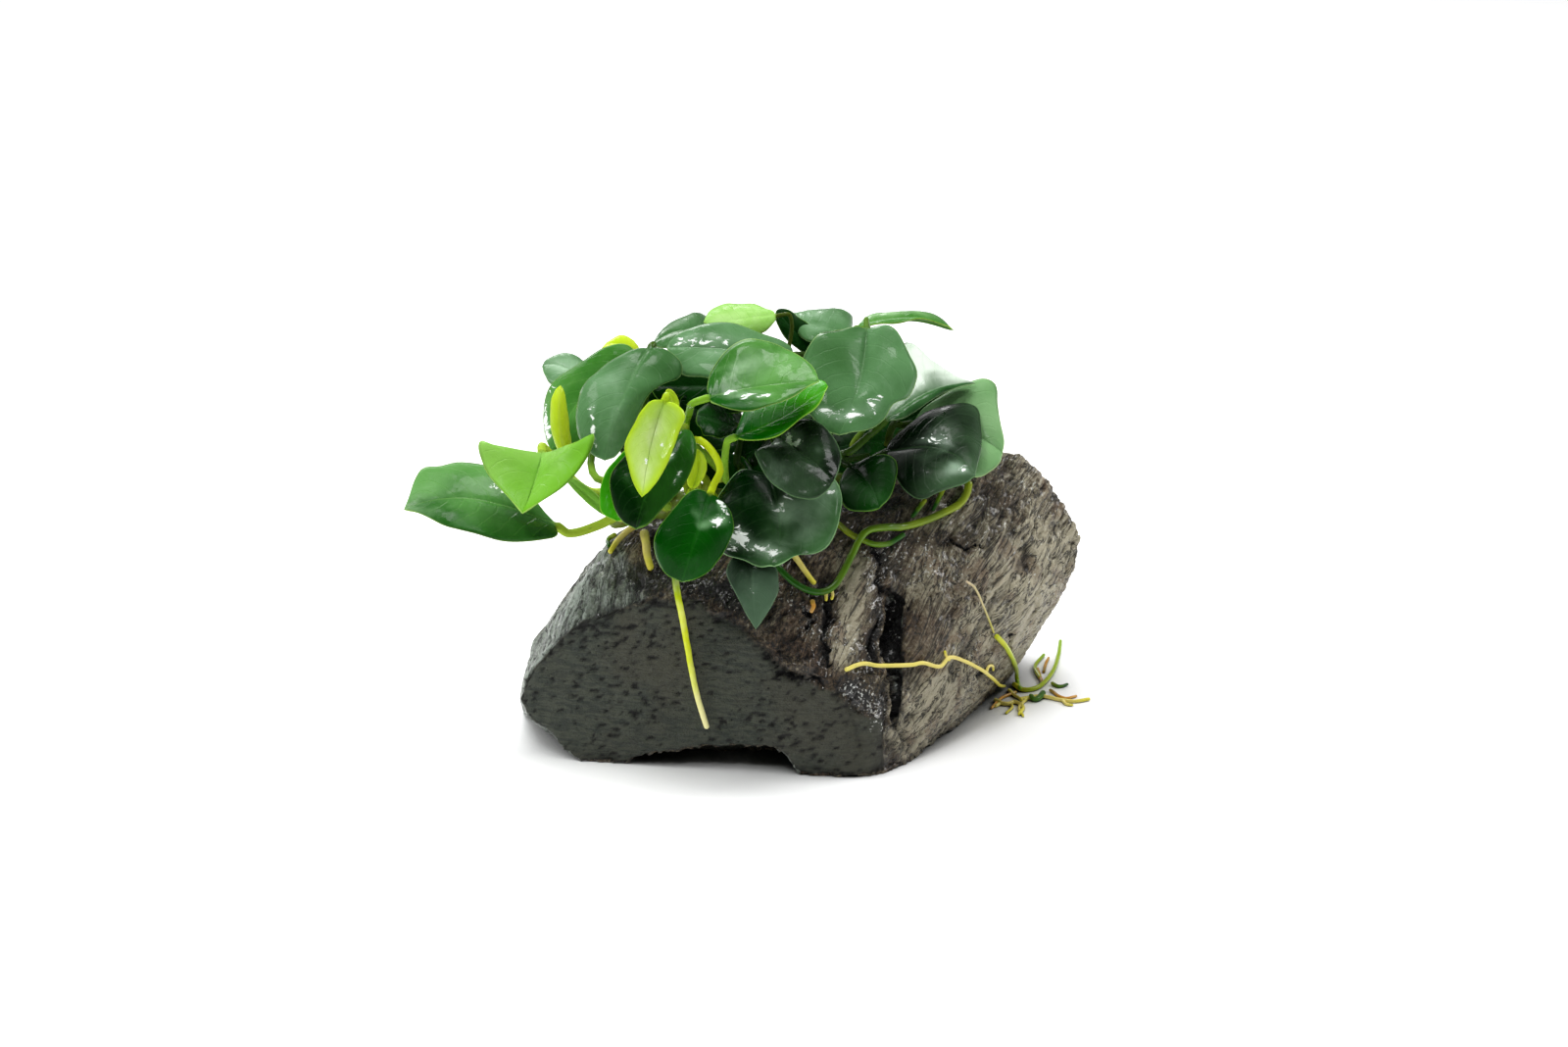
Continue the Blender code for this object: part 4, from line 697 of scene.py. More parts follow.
def edge_way(row, key, s):
    """From the middle line to the edge of the blade at s."""
    spots = row.get("spots_" + key)
    if not spots:
        return row["side_" + key][0] * half_width(row[key], s)[0]
    place = min(1.0, max(0.0, s)) * (len(spots) - 1)
    index = min(int(place), len(spots) - 2)
    return spots[index].lerp(spots[index + 1], place - index) - midrib(row, s)


def blade_face(row):
    """Direction out of the blade's upper face, halfway along it."""
    along = midrib(row, 0.52) - midrib(row, 0.48)
    face = (row["edge_b"] - row["edge_a"]).cross(along).normalized()
    whole = (row["edge_b"] - row["edge_a"]).cross(row["tip"] - row["base"])
    return -face if whole.dot(UPPER_SIDE) < 0 else face


def blade_sides(row):
    """The facts of each half of a blade that hold all along it."""
    face = row["face"] = blade_face(row)
    row["length"] = sum((midrib(row, (k + 1) / 20) - midrib(row, k / 20)).length for k in range(20))
    for key in ("a", "b"):
        edge = row["edge_" + key] - midrib(row, half_width(row[key], 0.5)[1])
        lift = (face - edge * (face.dot(edge) / edge.length_squared)).normalized()
        row["side_" + key] = (edge, lift)
        if "out_" + key in row:
            row["spots_" + key] = even_spots(outline_points(row, key), OUTLINE_SPOTS)


def blade_spot(row, s, t):
    """A point of the blade's middle surface, the way out of its face, and its measures in millimetres."""
    key, number = ("a", 3.0) if t < 0 else ("b", 7.0)
    edge, lift = row["side_" + key]
    way = edge_way(row, key, s)
    reach = way.length
    seed = row["seed"]
    out = abs(t)
    vein = VEIN_COUNT * (s - VEIN_SLANT * out ** VEIN_BEND) + (0.5 if t < 0 else 0.0)
    ragged = 1 + EDGE_RAGGED * noise.noise(Vector((s * 9.0, seed, number)))
    spot = midrib(row, s) + way * (out * ragged)
    swell = row["cup"] * 4 * out * (1 - out) * reach
    wave = row["wave"] * out ** 3
    wave *= math.sin(math.tau * (row["waves"] * s + seed + (WAVE_SHIFT if t < 0 else 0.0)))
    wave *= smooth_step(0.0, 0.25, min(1.0, reach / edge.length))
    quilt = -QUILT_MM * math.cos(math.tau * vein) * smooth_step(0.05, 0.35, out) * smooth_step(1.0, 0.7, out)
    lump = row["lump"] * noise.noise(spot / LUMP_MM + Vector((seed, 0, 0))) * smooth_step(0.0, 3.0, reach)
    groove = (-row["groove"] * math.exp(-(out * reach / GROOVE_WIDTH_MM) ** 2)
              * smooth_step(0.02, 0.12, s) * (1 - s))
    return spot + lift * (swell + wave + quilt + lump + groove), lift, reach, vein


def spot_strength(spots, s, t):
    """Sum of soft spots on a blade, each with its place along and across, both sizes and its strength."""
    total = 0.0
    for along, across, long, wide, strength in spots:
        total += strength * math.exp(-((s - along) / long) ** 2 - ((t - across) / wide) ** 2)
    return total


def blade_tone(row, s, t, spot):
    """Shares of brightness (painted light and shade over a drifting tone) and painted sheen, and the gloss,
    at a place on the blade.
    """
    drift = noise.noise(spot / 8.0 + Vector((3.0, row["seed"], 0)))
    # painted light and shade: one side and one end of the blade brighter, over a drifting tone
    bright = 0.5 + 0.5 * row["side"] * t + row["tipward"] * (s - 0.5) + 0.35 * drift
    # painted sheen: soft pale patches that stand for broad reflections on the blade
    bloom = spot_strength(row["bloom"], s, t) * (1 + 0.5 * drift)
    return min(1.0, max(0.0, bright - row["shade"])), min(1.0, bloom), row["gloss"]


def blade_ring(row, s):
    """Corners round the blade at s, with their measures: over the upper face, then back below."""
    ring = []
    rib = RIB_DEPTH_MM * (1 - s) ** 0.8
    for index in range(2 * RING_HALF):
        upper = index <= RING_HALF
        turn = 2 * index / RING_HALF - 1 if upper else 3 - 2 * index / RING_HALF
        t = math.copysign(abs(turn) ** CORNER_CROWDING, turn)
        if 0 < index < RING_HALF or index > RING_HALF:
            t = max(-RIM_SHARE, min(RIM_SHARE, t))
        spot, lift, reach, vein = blade_spot(row, s, t)
        half = BLADE_THICKNESS_MM / 2 * (1 - EDGE_THINNING * abs(t) ** 6) if abs(t) < 1 else 0.0
        half *= smooth_step(0.0, 1.5, reach) * 0.75 + 0.25
        bump = rib * math.exp(-(abs(t) * reach / RIB_WIDTH_MM) ** 2)
        spot = spot + lift * half if upper else spot - lift * (half + bump)
        # each corner also carries its painted light, painted sheen and gloss, and on the upper face its
        # painted glints
        ring.append((spot, (t * reach, s * row["length"], (1 - abs(t)) * reach), (s, t, vein),
                     (1.0 if upper else 0.0, 0.0, 1.0), blade_tone(row, s, t, spot),
                     (spot_strength(row["glints"], s, t) if upper else 0.0, 0.0, 0.0)))
    return ring


def crown_seat(row):
    """Foot of the stalk on the creeping stem, and the direction in which it leaves."""
    place, lean_deg = row["crown"]
    line = [Vector(point) for point in RHIZOME_LINE_MM]
    along = (line_at(line, place + 0.05) - line_at(line, place - 0.05)).normalized()
    up = (Vector((0, 0, 1)) - along * along.z).normalized()
    lean = math.radians(lean_deg)
    return line_at(line, place), up * math.cos(lean) + up.cross(along) * math.sin(lean)


def blade_start(row):
    """Direction of the middle line where the blade begins."""
    return (midrib(row, BLADE_START) - row["base"]).normalized()


def stalk_line(row):
    """Points of the stalk from its foot to the base of the blade."""
    centre, out = crown_seat(row)
    foot = centre + out * (RHIZOME_RADIUS_MM + FOOT_GAP_MM)
    neck = row["base"] - blade_start(row) * row["neck"] - blade_face(row) * NECK_DROP_MM
    return [foot, foot + out * STALK_RISE_MM] + row["stalk"] + [neck, row["base"]]


def circle_ring(centre, tangent, side, radius, hand):
    """Points round a stalk, matched to the order of the blade's corners."""
    side = (side - tangent * side.dot(tangent)).normalized()
    top = side.cross(tangent).normalized() * hand
    ring = []
    for index in range(2 * RING_HALF):
        turn = math.pi * index / RING_HALF
        ring.append(centre - side * (radius * math.cos(turn)) + top * (radius * math.sin(turn)))
    return ring


def stalk_radius(share):
    """Radius up the stalk: a clasping foot, a slim middle and a slightly thicker neck."""
    foot = STALK_FOOT_RADIUS_MM * 1.15 * math.exp(-(share / 0.16) ** 2)
    return max(STALK_RADIUS_MM * (0.92 + 0.12 * smooth_step(0.75, 1.0, share)) + 0.2 * (1 - share), foot)


def stalk_rings(row):
    """Rings up the stalk, turned so that they meet the blade's first ring without a twist."""
    line = stalk_line(row)
    tangent_after = blade_start(row)
    side = row["edge_b"] - row["edge_a"]
    hand = 1.0 if side.cross(tangent_after).dot(row["face"]) > 0 else -1.0
    side = (side - tangent_after * side.dot(tangent_after)).normalized()
    rings = []
    for step in range(STALK_STATIONS, -1, -1):
        share = step / STALK_STATIONS
        place = (len(line) - 1) * share
        tangent = line_way(line, place)
        side = tangent_after.rotation_difference(tangent) @ side
        tangent_after = tangent
        radius = stalk_radius(share) * row["stalk_size"]
        # the stalk's share of light: below one, its colour goes towards a painted shade
        known = ((0.0, 0.0, 1.0), (0.0, 0.0, 0.0), (1.0, 1.0, share), (row["lit"], 0.0, 0.3), (0.0, 0.0, 0.0))
        ring = circle_ring(line_at(line, place), tangent, side, radius, hand)
        rings.append([(point, *known) for point in ring])
    return list(reversed(rings))


def blended(one, two, share):
    """A ring between two rings."""
    made = []
    for here, there in zip(one, two):
        made.append(tuple(Vector(a).lerp(Vector(b), share) for a, b in zip(here, there)))
    return made


def leaf_rings(row):
    """All rings of a leaf from the foot of its stalk to the tip of its blade."""
    rings = stalk_rings(row)
    neck = rings[-1]
    start = blade_start(row)
    for step in range(1, BLADE_STATIONS + 1):
        s = 0.5 - 0.5 * math.cos(math.pi * (step / BLADE_STATIONS * TIP_SHARE + 0.01))
        ring = blade_ring(row, s)
        share = smooth_step(0.0, 0.05, s)
        if share < 1:
            moved = [(item[0] + start * (s * row["length"]), *item[1:]) for item in neck]
            ring = blended(moved, ring, share)
        rings.append(ring)
    return rings


def new_object(name, data):
    """An object of the scene."""
    obj = bpy.data.objects.new(name, data)
    bpy.context.collection.objects.link(obj)
    return obj


def mesh_object(name, mesh):
    """An object made of an edited mesh."""
    data = bpy.data.meshes.new(name)
    mesh.to_mesh(data)
    mesh.free()
    return new_object(name, data)


def new_piece(name, mesh, material):
    """A shown object of the plant, smooth and with its material."""
    obj = mesh_object(name, mesh)
    for polygon in obj.data.polygons:
        polygon.use_smooth = True
    obj.data.materials.append(material)
    return obj


def place_ring(face, ring, layers):
    """The corners of a face at the points of a ring, with what each corner knows."""
    for loop, item in zip(face.loops, ring):
        loop.vert.co = Vector(item[0]) * MM
        for layer, value in zip(layers, item[1:]):
            loop.vert[layer] = Vector(value)


def loft(rings, names):
    """A closed body drawn out of a disc from ring to ring."""
    mesh = bmesh.new()
    layers = [mesh.verts.layers.float_vector.new(name) for name in names]
    bmesh.ops.create_circle(mesh, cap_ends=True, segments=len(rings[0]), radius=1.0)
    mesh.faces.ensure_lookup_table()
    cap = mesh.faces[0]
    place_ring(cap, rings[0], layers)
    copied = bmesh.ops.duplicate(mesh, geom=[cap])["geom"]
    foot = [item for item in copied if isinstance(item, bmesh.types.BMFace)][0]
    place_ring(foot, rings[0], layers)
    for ring in rings[1:]:
        cap = bmesh.ops.extrude_discrete_faces(mesh, faces=[cap])["faces"][0]
        place_ring(cap, ring, layers)
    seam = [vert for vert in mesh.verts if vert.is_boundary]
    bmesh.ops.remove_doubles(mesh, verts=seam, dist=1e-7)
    bmesh.ops.recalc_face_normals(mesh, faces=mesh.faces)
    return mesh


# materials


class Reading:
    """What a node puts out. Readings add, subtract, multiply and divide by Math nodes."""

    def __init__(self, socket):
        self.socket = socket
        self.tree = socket.id_data

    def __add__(self, other):
        return reckon("ADD", self, other)

    def __sub__(self, other):
        return reckon("SUBTRACT", self, other)

    def __rsub__(self, other):
        return reckon("SUBTRACT", other, self)

    def __mul__(self, other):
        return reckon("MULTIPLY", self, other)

    def __truediv__(self, other):
        return reckon("DIVIDE", self, other)

    def __abs__(self):
        return reckon("ABSOLUTE", self)


def fill(node, values):
    """Gives a node's inputs, by name or number, their values or readings."""
    for label, value in dict(values).items():
        if isinstance(value, Reading):
            value.tree.links.new(value.socket, node.inputs[label])
        else:
            node.inputs[label].default_value = value


def new_node(tree, kind, values=(), **settings):
    """A new node with its settings and inputs."""
    node = tree.nodes.new(kind)
    for label, value in settings.items():
        setattr(node, label, value)
    fill(node, values)
    return node


def reckon(operation, *values):
    """A Math node's result."""
    tree = next(value.tree for value in values if isinstance(value, Reading))
    return Reading(new_node(tree, "ShaderNodeMath", enumerate(values), operation=operation).outputs[0])


def between(value, low, high, start=0.0, end=1.0):
    """A value eased from start to end as it goes from low to high."""
    return Reading(new_node(value.tree, "ShaderNodeMapRange", enumerate((value, low, high, start, end)),
                            interpolation_type="SMOOTHSTEP").outputs[0])


def layered(colour, *coats):
    """A colour with others laid over it in turn, each by its share."""
    for share, tint in coats:
        mix = new_node(share.tree, "ShaderNodeMix", {0: share, 6: colour, 7: tint}, data_type="RGBA")
        colour = Reading(mix.outputs[2])
    return colour


def noise_at(at, scale, detail=3.0, roughness=0.5, distortion=0.0):
    """A noise value at a place; scale counts per unit of the place's measure."""
    made = new_node(at.tree, "ShaderNodeTexNoise", {
        "Vector": at, "Scale": scale, "Detail": detail, "Roughness": roughness, "Distortion": distortion})
    return Reading(made.outputs["Fac"])


def apart(place):
    """The three measures of a place."""
    return [Reading(socket) for socket in new_node(place.tree, "ShaderNodeSeparateXYZ", {0: place}).outputs]


def attribute(tree, name):
    """The three numbers of an attribute, and the attribute as a place."""
    place = Reading(new_node(tree, "ShaderNodeAttribute", attribute_name=name).outputs["Vector"])
    return *apart(place), place


def object_place(tree):
    """Object coordinates in metres."""
    return Reading(tree.nodes.new("ShaderNodeTexCoord").outputs["Object"])


def raise_relief(shader, height, strength, distance):
    """Relief on a surface, from a height and the distance in metres that it stands for."""
    bump = new_node(height.tree, "ShaderNodeBump", {
        "Strength": strength, "Distance": distance, "Height": height})
    fill(shader, {"Normal": Reading(bump.outputs["Normal"])})


def leaf_markings_group():
    """Veins, midrib, rim, mottling and relief of a leaf, read from the blade's own measures."""
    group = bpy.data.node_groups.new("leaf_markings", "ShaderNodeTree")
    for label, value in (("Vein Width", 0.09), ("Rim Width", RIM_WIDTH_MM)):
        socket = group.interface.new_socket(label, in_out="INPUT", socket_type="NodeSocketFloat")
        socket.default_value = value
    for label in ("Veins", "Midrib", "Rim", "Mottle", "Film", "Relief"):
        group.interface.new_socket(label, in_out="OUTPUT", socket_type="NodeSocketFloat")
    vein_width, rim_width = map(Reading, group.nodes.new("NodeGroupInput").outputs[:2])
    leave = group.nodes.new("NodeGroupOutput")
    across, _, edge, _ = attribute(group, "leaf_mm")
    s, _, vein, _ = attribute(group, "leaf_at")
    place = object_place(group)
    phase = vein + (noise_at(place, 260.0) - 0.5) * 0.45
    off = abs(reckon("FRACT", phase) - 0.5)
    line = between(off, 0.0, vein_width, 1.0, 0.0)
    veins = line * (between(edge, 0.3, 2.5) * between(s, 0.03, 0.12))
    rib_width = (1.0 - s) * 0.55 + 0.12
    ribbed = between(abs(across) / rib_width, 0.35, 1.0, 1.0, 0.0)
    rim = between(edge, 0.0, rim_width, 1.0, 0.0)
    mottle = noise_at(place, 150.0, 4.0, 0.55, 0.4)
    net = new_node(group, "ShaderNodeTexVoronoi", {"Vector": place, "Scale": 900.0},
                   feature="DISTANCE_TO_EDGE")
    netted = between(Reading(net.outputs["Distance"]), 0.0, 0.12, 1.0, 0.0)
    film = between(noise_at(place, 95.0, 5.0, 0.62, 0.8), 0.48, 0.54, 0.18, 1.0)
    waves = noise_at(place, 330.0, 4.0, 0.6, 0.6)
    relief = veins * -0.35 + waves * 0.9 + netted * -0.05 + ribbed * -0.3
    fill(leave, enumerate((veins, ribbed, rim, mottle, film, relief)))
    return group


def new_material(name):
    """An empty material with its shader."""
    material = bpy.data.materials.new(name)
    material.use_nodes = True
    tree = material.node_tree
    return material, tree, tree.nodes["Principled BSDF"]


def leaf_material(name, markings):
    """Waxy wet leaf: blade, veins, rim, underside and stalk in one material."""
    _, rough, coat, rim_width, *tones = LOOKS[name]
    deep, lit, painted_sheen_tint, vein_tint, rim_tint, under, stalk_tint = [tone(*item) for item in tones]
    material, tree, shader = new_material("leaf_" + name)
    marks = new_node(tree, "ShaderNodeGroup", {"Rim Width": rim_width}, node_tree=markings)
    veins, ribbed, rim, mottle, film, relief = map(Reading, marks.outputs)
    upper, stalk, up_stalk, _ = attribute(tree, "leaf_part")
    bright, bloom, gloss, _ = attribute(tree, "leaf_tone")
    glint = attribute(tree, "leaf_painted_glint")[0]
    place = object_place(tree)

    streak = (mottle - 0.5) * 0.5
    # painted highlights: ragged near-white glints where the blade's glint spots lie, with a painted sheen
    # round them
    ragged = noise_at(stretched(place, (300.0, 300.0, 620.0)), 1.0, 6.0, 0.68, 1.0)
    glinting = between(ragged + glint * 0.20, 0.625, 0.68) * between(glint, 0.08, 0.25)
    # deep tone towards the lit tone as painted light and shade, then painted sheen, veins, midrib, underside,
    # rim, painted sheen round the glints and the painted glints
    blade = layered(
        deep, (between(bright + streak, 0.0, 1.0), lit),
        (between(bloom + streak * 1.6, 0.05, 0.95), painted_sheen_tint), (veins * 0.08, vein_tint),
        (ribbed * 0.18, vein_tint), (1.0 - upper, under), (rim * 0.8, rim_tint),
        (between(glint, 0.0, 1.0) * 0.4, painted_sheen_tint), (glinting, tone(246, 252, 246)))
    freckle = between(noise_at(place, 900.0, 2.0), 0.60, 0.75)
    petiole = layered(stalk_tint, (freckle * 0.35, deep), (between(up_stalk, 0.35, 0.0), tone(176, 196, 70)))
    # painted shade: stalks with little light go towards a near-black green
    petiole = layered(tone(12, 28, 6), (bright, petiole))

    fill(shader, {"Base Color": layered(blade, (stalk, petiole)),
                  "Roughness": between(film, 0.0, 1.0, rough, rough * 0.45),
                  "Coat Weight": film * gloss * coat, "Coat Roughness": 0.06, "Coat IOR": 1.38, "IOR": 1.40,
                  "Specular IOR Level": 0.07})
    raise_relief(shader, relief, 0.35, 0.0004)
    material.diffuse_color = lit
    return material


def root_material(name, start, middle, end, specks, turns=(0.0, 0.45, 0.55, 0.95)):
    """Fleshy root that changes colour from its start to its tip."""
    material, tree, shader = new_material(name)
    start, middle, end = (tone(*item) for item in (start, middle, end))
    way = attribute(tree, "root_at")[0]
    place = object_place(tree)
    spots = between(noise_at(place, 700.0, 4.0, 0.6), 0.5, 0.72)
    lightness = between(noise_at(place, 220.0, 2.0), 0.35, 0.7, 0.0, 0.35)
    colour = layered(start, (between(way, *turns[:2]), middle), (between(way, *turns[2:]), end),
                     (spots * specks, tone(120, 112, 40)), (lightness, end))
    fill(shader, {"Base Color": colour, "Roughness": 0.38, "Coat Weight": 0.3, "Coat Roughness": 0.1,
                  "Specular IOR Level": 0.15})
    raise_relief(shader, noise_at(place, 1100.0, 4.0, 0.6), 0.4, 0.0003)
    material.diffuse_color = middle
    return material


def stretched(at, scale):
    """A place with its three measures scaled."""
    return Reading(new_node(at.tree, "ShaderNodeMapping", {"Scale": scale, "Vector": at}).outputs["Vector"])


def wood_material():
    """Wet driftwood: charcoal sawn face, brown rough shoulder, grey fibres on its sides; painted sheen on its
    left side, painted shade in pits, fissures, hollows and clefts, and painted glints.
    """
    material, tree, shader = new_material("wet_driftwood")
    sawn, left, right, _ = attribute(tree, "wood_zone")
    pit, cleft, height, _ = attribute(tree, "wood_mark")
    wet, pale, rusty, _ = attribute(tree, "wood_part")
    grain = attribute(tree, "wood_grain")[3]
    place = object_place(tree)
    fibres = noise_at(grain, 1.1, 6.0, 0.68, 1.0)
    coarse = noise_at(grain, 0.5, 4.0, 0.6, 0.8)
    grit = noise_at(place, 1500.0, 3.0, 0.6)
    lumps = noise_at(place, 520.0, 4.0, 0.6, 0.6)
    broad = noise_at(place, 60.0, 4.0, 0.55)

    worn = (fibres * 0.44 + grit * 0.20 + lumps * 0.22 + broad * 0.18 + pale * 0.16 + right * 0.038
            + height * 0.03)
    ash = worn + 0.06
    shoulder = layered(tone(12, 9, 6), (between(worn, 0.42, 0.50), tone(80, 68, 48)),
                       (between(worn, 0.49, 0.68), tone(184, 176, 150)))
    # painted sheen: the left side is a lighter grey, as where wet fibres catch the light
    sheened_left_facet = layered(tone(30, 33, 30), (between(ash, 0.42, 0.53), tone(124, 132, 122)),
                    (between(ash, 0.52, 0.64), tone(176, 186, 176)))
    rust = layered(tone(26, 16, 12), (between(worn, 0.42, 0.60), tone(118, 90, 68)))
    stained = between(noise_at(place, 95.0, 4.0, 0.6, 0.8), 0.50, 0.62, 0.0, 0.5)
    # fissures along the grain, darkened as painted shade
    fissure = between(abs(coarse - 0.5), 0.006, 0.038, 1.0, 0.0)

    bands = noise_at(stretched(place, (260.0, 260.0, 1300.0)), 1.0, 4.0, 0.6, 0.4)
    # small pits of the sawn face, darkened as painted shade
    dashes = noise_at(stretched(place, (800.0, 800.0, 2400.0)), 1.0, 3.0, 0.55)
    dashed = between(dashes + pit * 0.14, 0.645, 0.72)
    face = layered(
        tone(46, 52, 45), (between(bands, 0.38, 0.62), tone(66, 70, 59)),
        (between(broad, 0.40, 0.66, 0.0, 0.6), tone(66, 64, 52)),
        (between(grit, 0.56, 0.72, 0.0, 0.5), tone(78, 80, 72)), (dashed * 0.55, tone(12, 13, 11)))
    # painted shade: the clefts of the crack are near black and lose their coat
    torn = between(cleft + (lumps - 0.5) * 1.2, 0.42, 0.58)
    # painted highlights: small pale glints where the wood is wet
    glints = between(grit * 0.5 + fibres * 0.5 + wet * 0.075, 0.60, 0.66) * between(wet, 0.05, 0.3)
    # over the shoulder: rust and stains, the left side's painted sheen, painted shade in fissures, the sawn
    # face, painted shade in pits, hollows and clefts, then painted glints
    colour = layered(
        shoulder, (reckon("MAXIMUM", rusty * 0.8, stained), rust), (left, sheened_left_facet),
        (fissure * 0.85, tone(10, 8, 6)), (sawn, face), (pit * 0.85, tone(7, 7, 6)),
        # painted shade where the surface is sunk
        (between(height, -0.2, -1.3, 0.0, 0.6), tone(8, 7, 6)), (torn, tone(3, 3, 2)),
        (glints, tone(226, 228, 222)))

    damp = between(noise_at(place, 75.0, 4.0, 0.6), 0.42, 0.6, 0.15, 0.6)
    damp = reckon("MAXIMUM", damp * (1.0 - reckon("MINIMUM", abs(pale), 1.0)), wet)
    fill(shader, {"Base Color": colour, "Roughness": between(fibres, 0.35, 0.7, 0.34, 0.62) + sawn * 0.2,
                  "Coat Weight": damp * (1.0 - reckon("MAXIMUM", sawn * 0.92, torn)), "Coat Roughness": 0.12,
                  "Specular IOR Level": 0.35})
    relief = (fibres * 0.9 + lumps * 0.9 + grit * 0.45 + fissure * -0.25) * (1.05 - sawn * 0.85)
    raise_relief(shader, relief + dashed * sawn * -0.25 + bands * sawn * 0.25, 1.0, 0.0011)
    material.diffuse_color = tone(50, 46, 44)
    return material


# the wood

def even_mesh(node):
    """A copy of a node's mesh with small even faces, as an edited mesh in metres."""
    source = bmesh.new()
    source.from_mesh(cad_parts[node].data)
    bmesh.ops.remove_doubles(source, verts=source.verts, dist=1e-6)
    helper = mesh_object(node + "_copy", source)
    data = helper.data
    even = helper.modifiers.new("even", "REMESH")
    even.mode = "VOXEL"
    even.voxel_size = WOOD_VOXEL_M
    shape = helper.evaluated_get(bpy.context.evaluated_depsgraph_get())
    made = bmesh.new()
    made.from_mesh(shape.to_mesh())
    shape.to_mesh_clear()
    bpy.data.objects.remove(helper, do_unlink=True)
    bpy.data.meshes.remove(data)
    return made


def sighted_marks(points):
    """Units across and down at which points in millimetres are sighted."""
    away = points - np.array(EYE_MM)
    spread = SIGHT_DISTANCE_MM / SIGHT_UNIT_MM / (away @ np.array(VIEW_WAY))
    rise = away @ np.array(VIEW_UP)
    return np.stack((SIGHT_MIDDLE[0] + away[:, 0] * spread, SIGHT_MIDDLE[1] - rise * spread), 1)


def line_distance(marks, line):
    """Distance of marks from a broken line, in units."""
    near = np.full(len(marks), 1e9)
    for start, end in zip(line, line[1:]):
        a, b = np.array(start, float), np.array(end, float)
        along = np.clip(((marks - a) @ (b - a)) / ((b - a) @ (b - a)), 0, 1)
        near = np.minimum(near, np.linalg.norm(marks - a - along[:, None] * (b - a), axis=1))
    return near


def bell(values, width):
    """From 1 where values are 0 down to 0 some widths away."""
    return np.exp(-(values / width) ** 2)


def strength_of(marks, parts):
    """How strongly marks belong to parts that are given as lines with half widths and strengths."""
    total = np.zeros(len(marks))
    for line, width, strength in parts:
        total = np.maximum(total, strength * bell(line_distance(marks, line), width))
    return total


def eased(low, high, values):
    """From 0 below low to 1 above high, eased, for many values."""
    part = np.clip((values - low) / (high - low), 0, 1)
    return part * part * (3 - 2 * part)


def grain_place(point):
    """A place in millimetres measured along the wood's grain, where it changes slowly, and across it."""
    moved = point + noise.noise_vector(point / 22.0) * 3.2
    return moved - GRAIN * (moved.dot(GRAIN) * GRAIN_STRETCH)


def wood_noises(point):
    """Patterns of the wood at a point: fibres, lumps, grit, broad waves, dashes and creases."""
    grain = grain_place(point)
    fibres = noise.fractal(grain * 0.8, 0.9, 2.1, 4)
    lumps = noise.fractal(point / 6.0, 0.8, 2.0, 3)
    fine = noise.noise(point / 0.9)
    broad = noise.noise(point / 9.0)
    dash = noise.noise(Vector((point.x / 1.9, point.y, point.z / 0.75)) + Vector((7.0, 1.0, 4.0)))
    crease = noise.noise(grain * 0.42 + Vector((0, 9.0, 2.0)))
    return grain, fibres, lumps, fine, broad, dash, crease


def wood_zones(marks, normals, lumps, broad):
    """Shares of front, sawn, left and right that the wood has at its marks, and how far below the edge."""
    front = eased(0.10, 0.35, -normals[:, 1])
    edge = np.interp(marks[:, 0], [spot[0] for spot in SAWN_EDGE], [spot[1] for spot in SAWN_EDGE])
    below = marks[:, 1] - edge + 7.0 * broad + 5.0 * lumps
    sawn = eased(-1.5, 3.5, below) * eased(0.55, 0.8, normals @ np.array(SAWN_WAY))
    sawn = sawn * eased(SAWN_END, SAWN_END - 15.0, marks[:, 0] + 8 * lumps)
    left = eased(0.25, 0.5, -normals[:, 0]) * (1 - sawn) * eased(-0.45, 0.15, -normals[:, 1])
    right = eased(-10.0, 25.0, marks[:, 0] - RIGHT_START + 12 * broad) * (1 - sawn)
    return front, sawn, left, right, below


def cleft_strength(marks):
    """How deep marks lie in the torn clefts of the crack, from 0 to 1."""
    cleft = np.zeros(len(marks))
    for line, width in CLEFTS:
        cleft = np.maximum(cleft, eased(1.6, 0.3, line_distance(marks, line) / width))
    return cleft


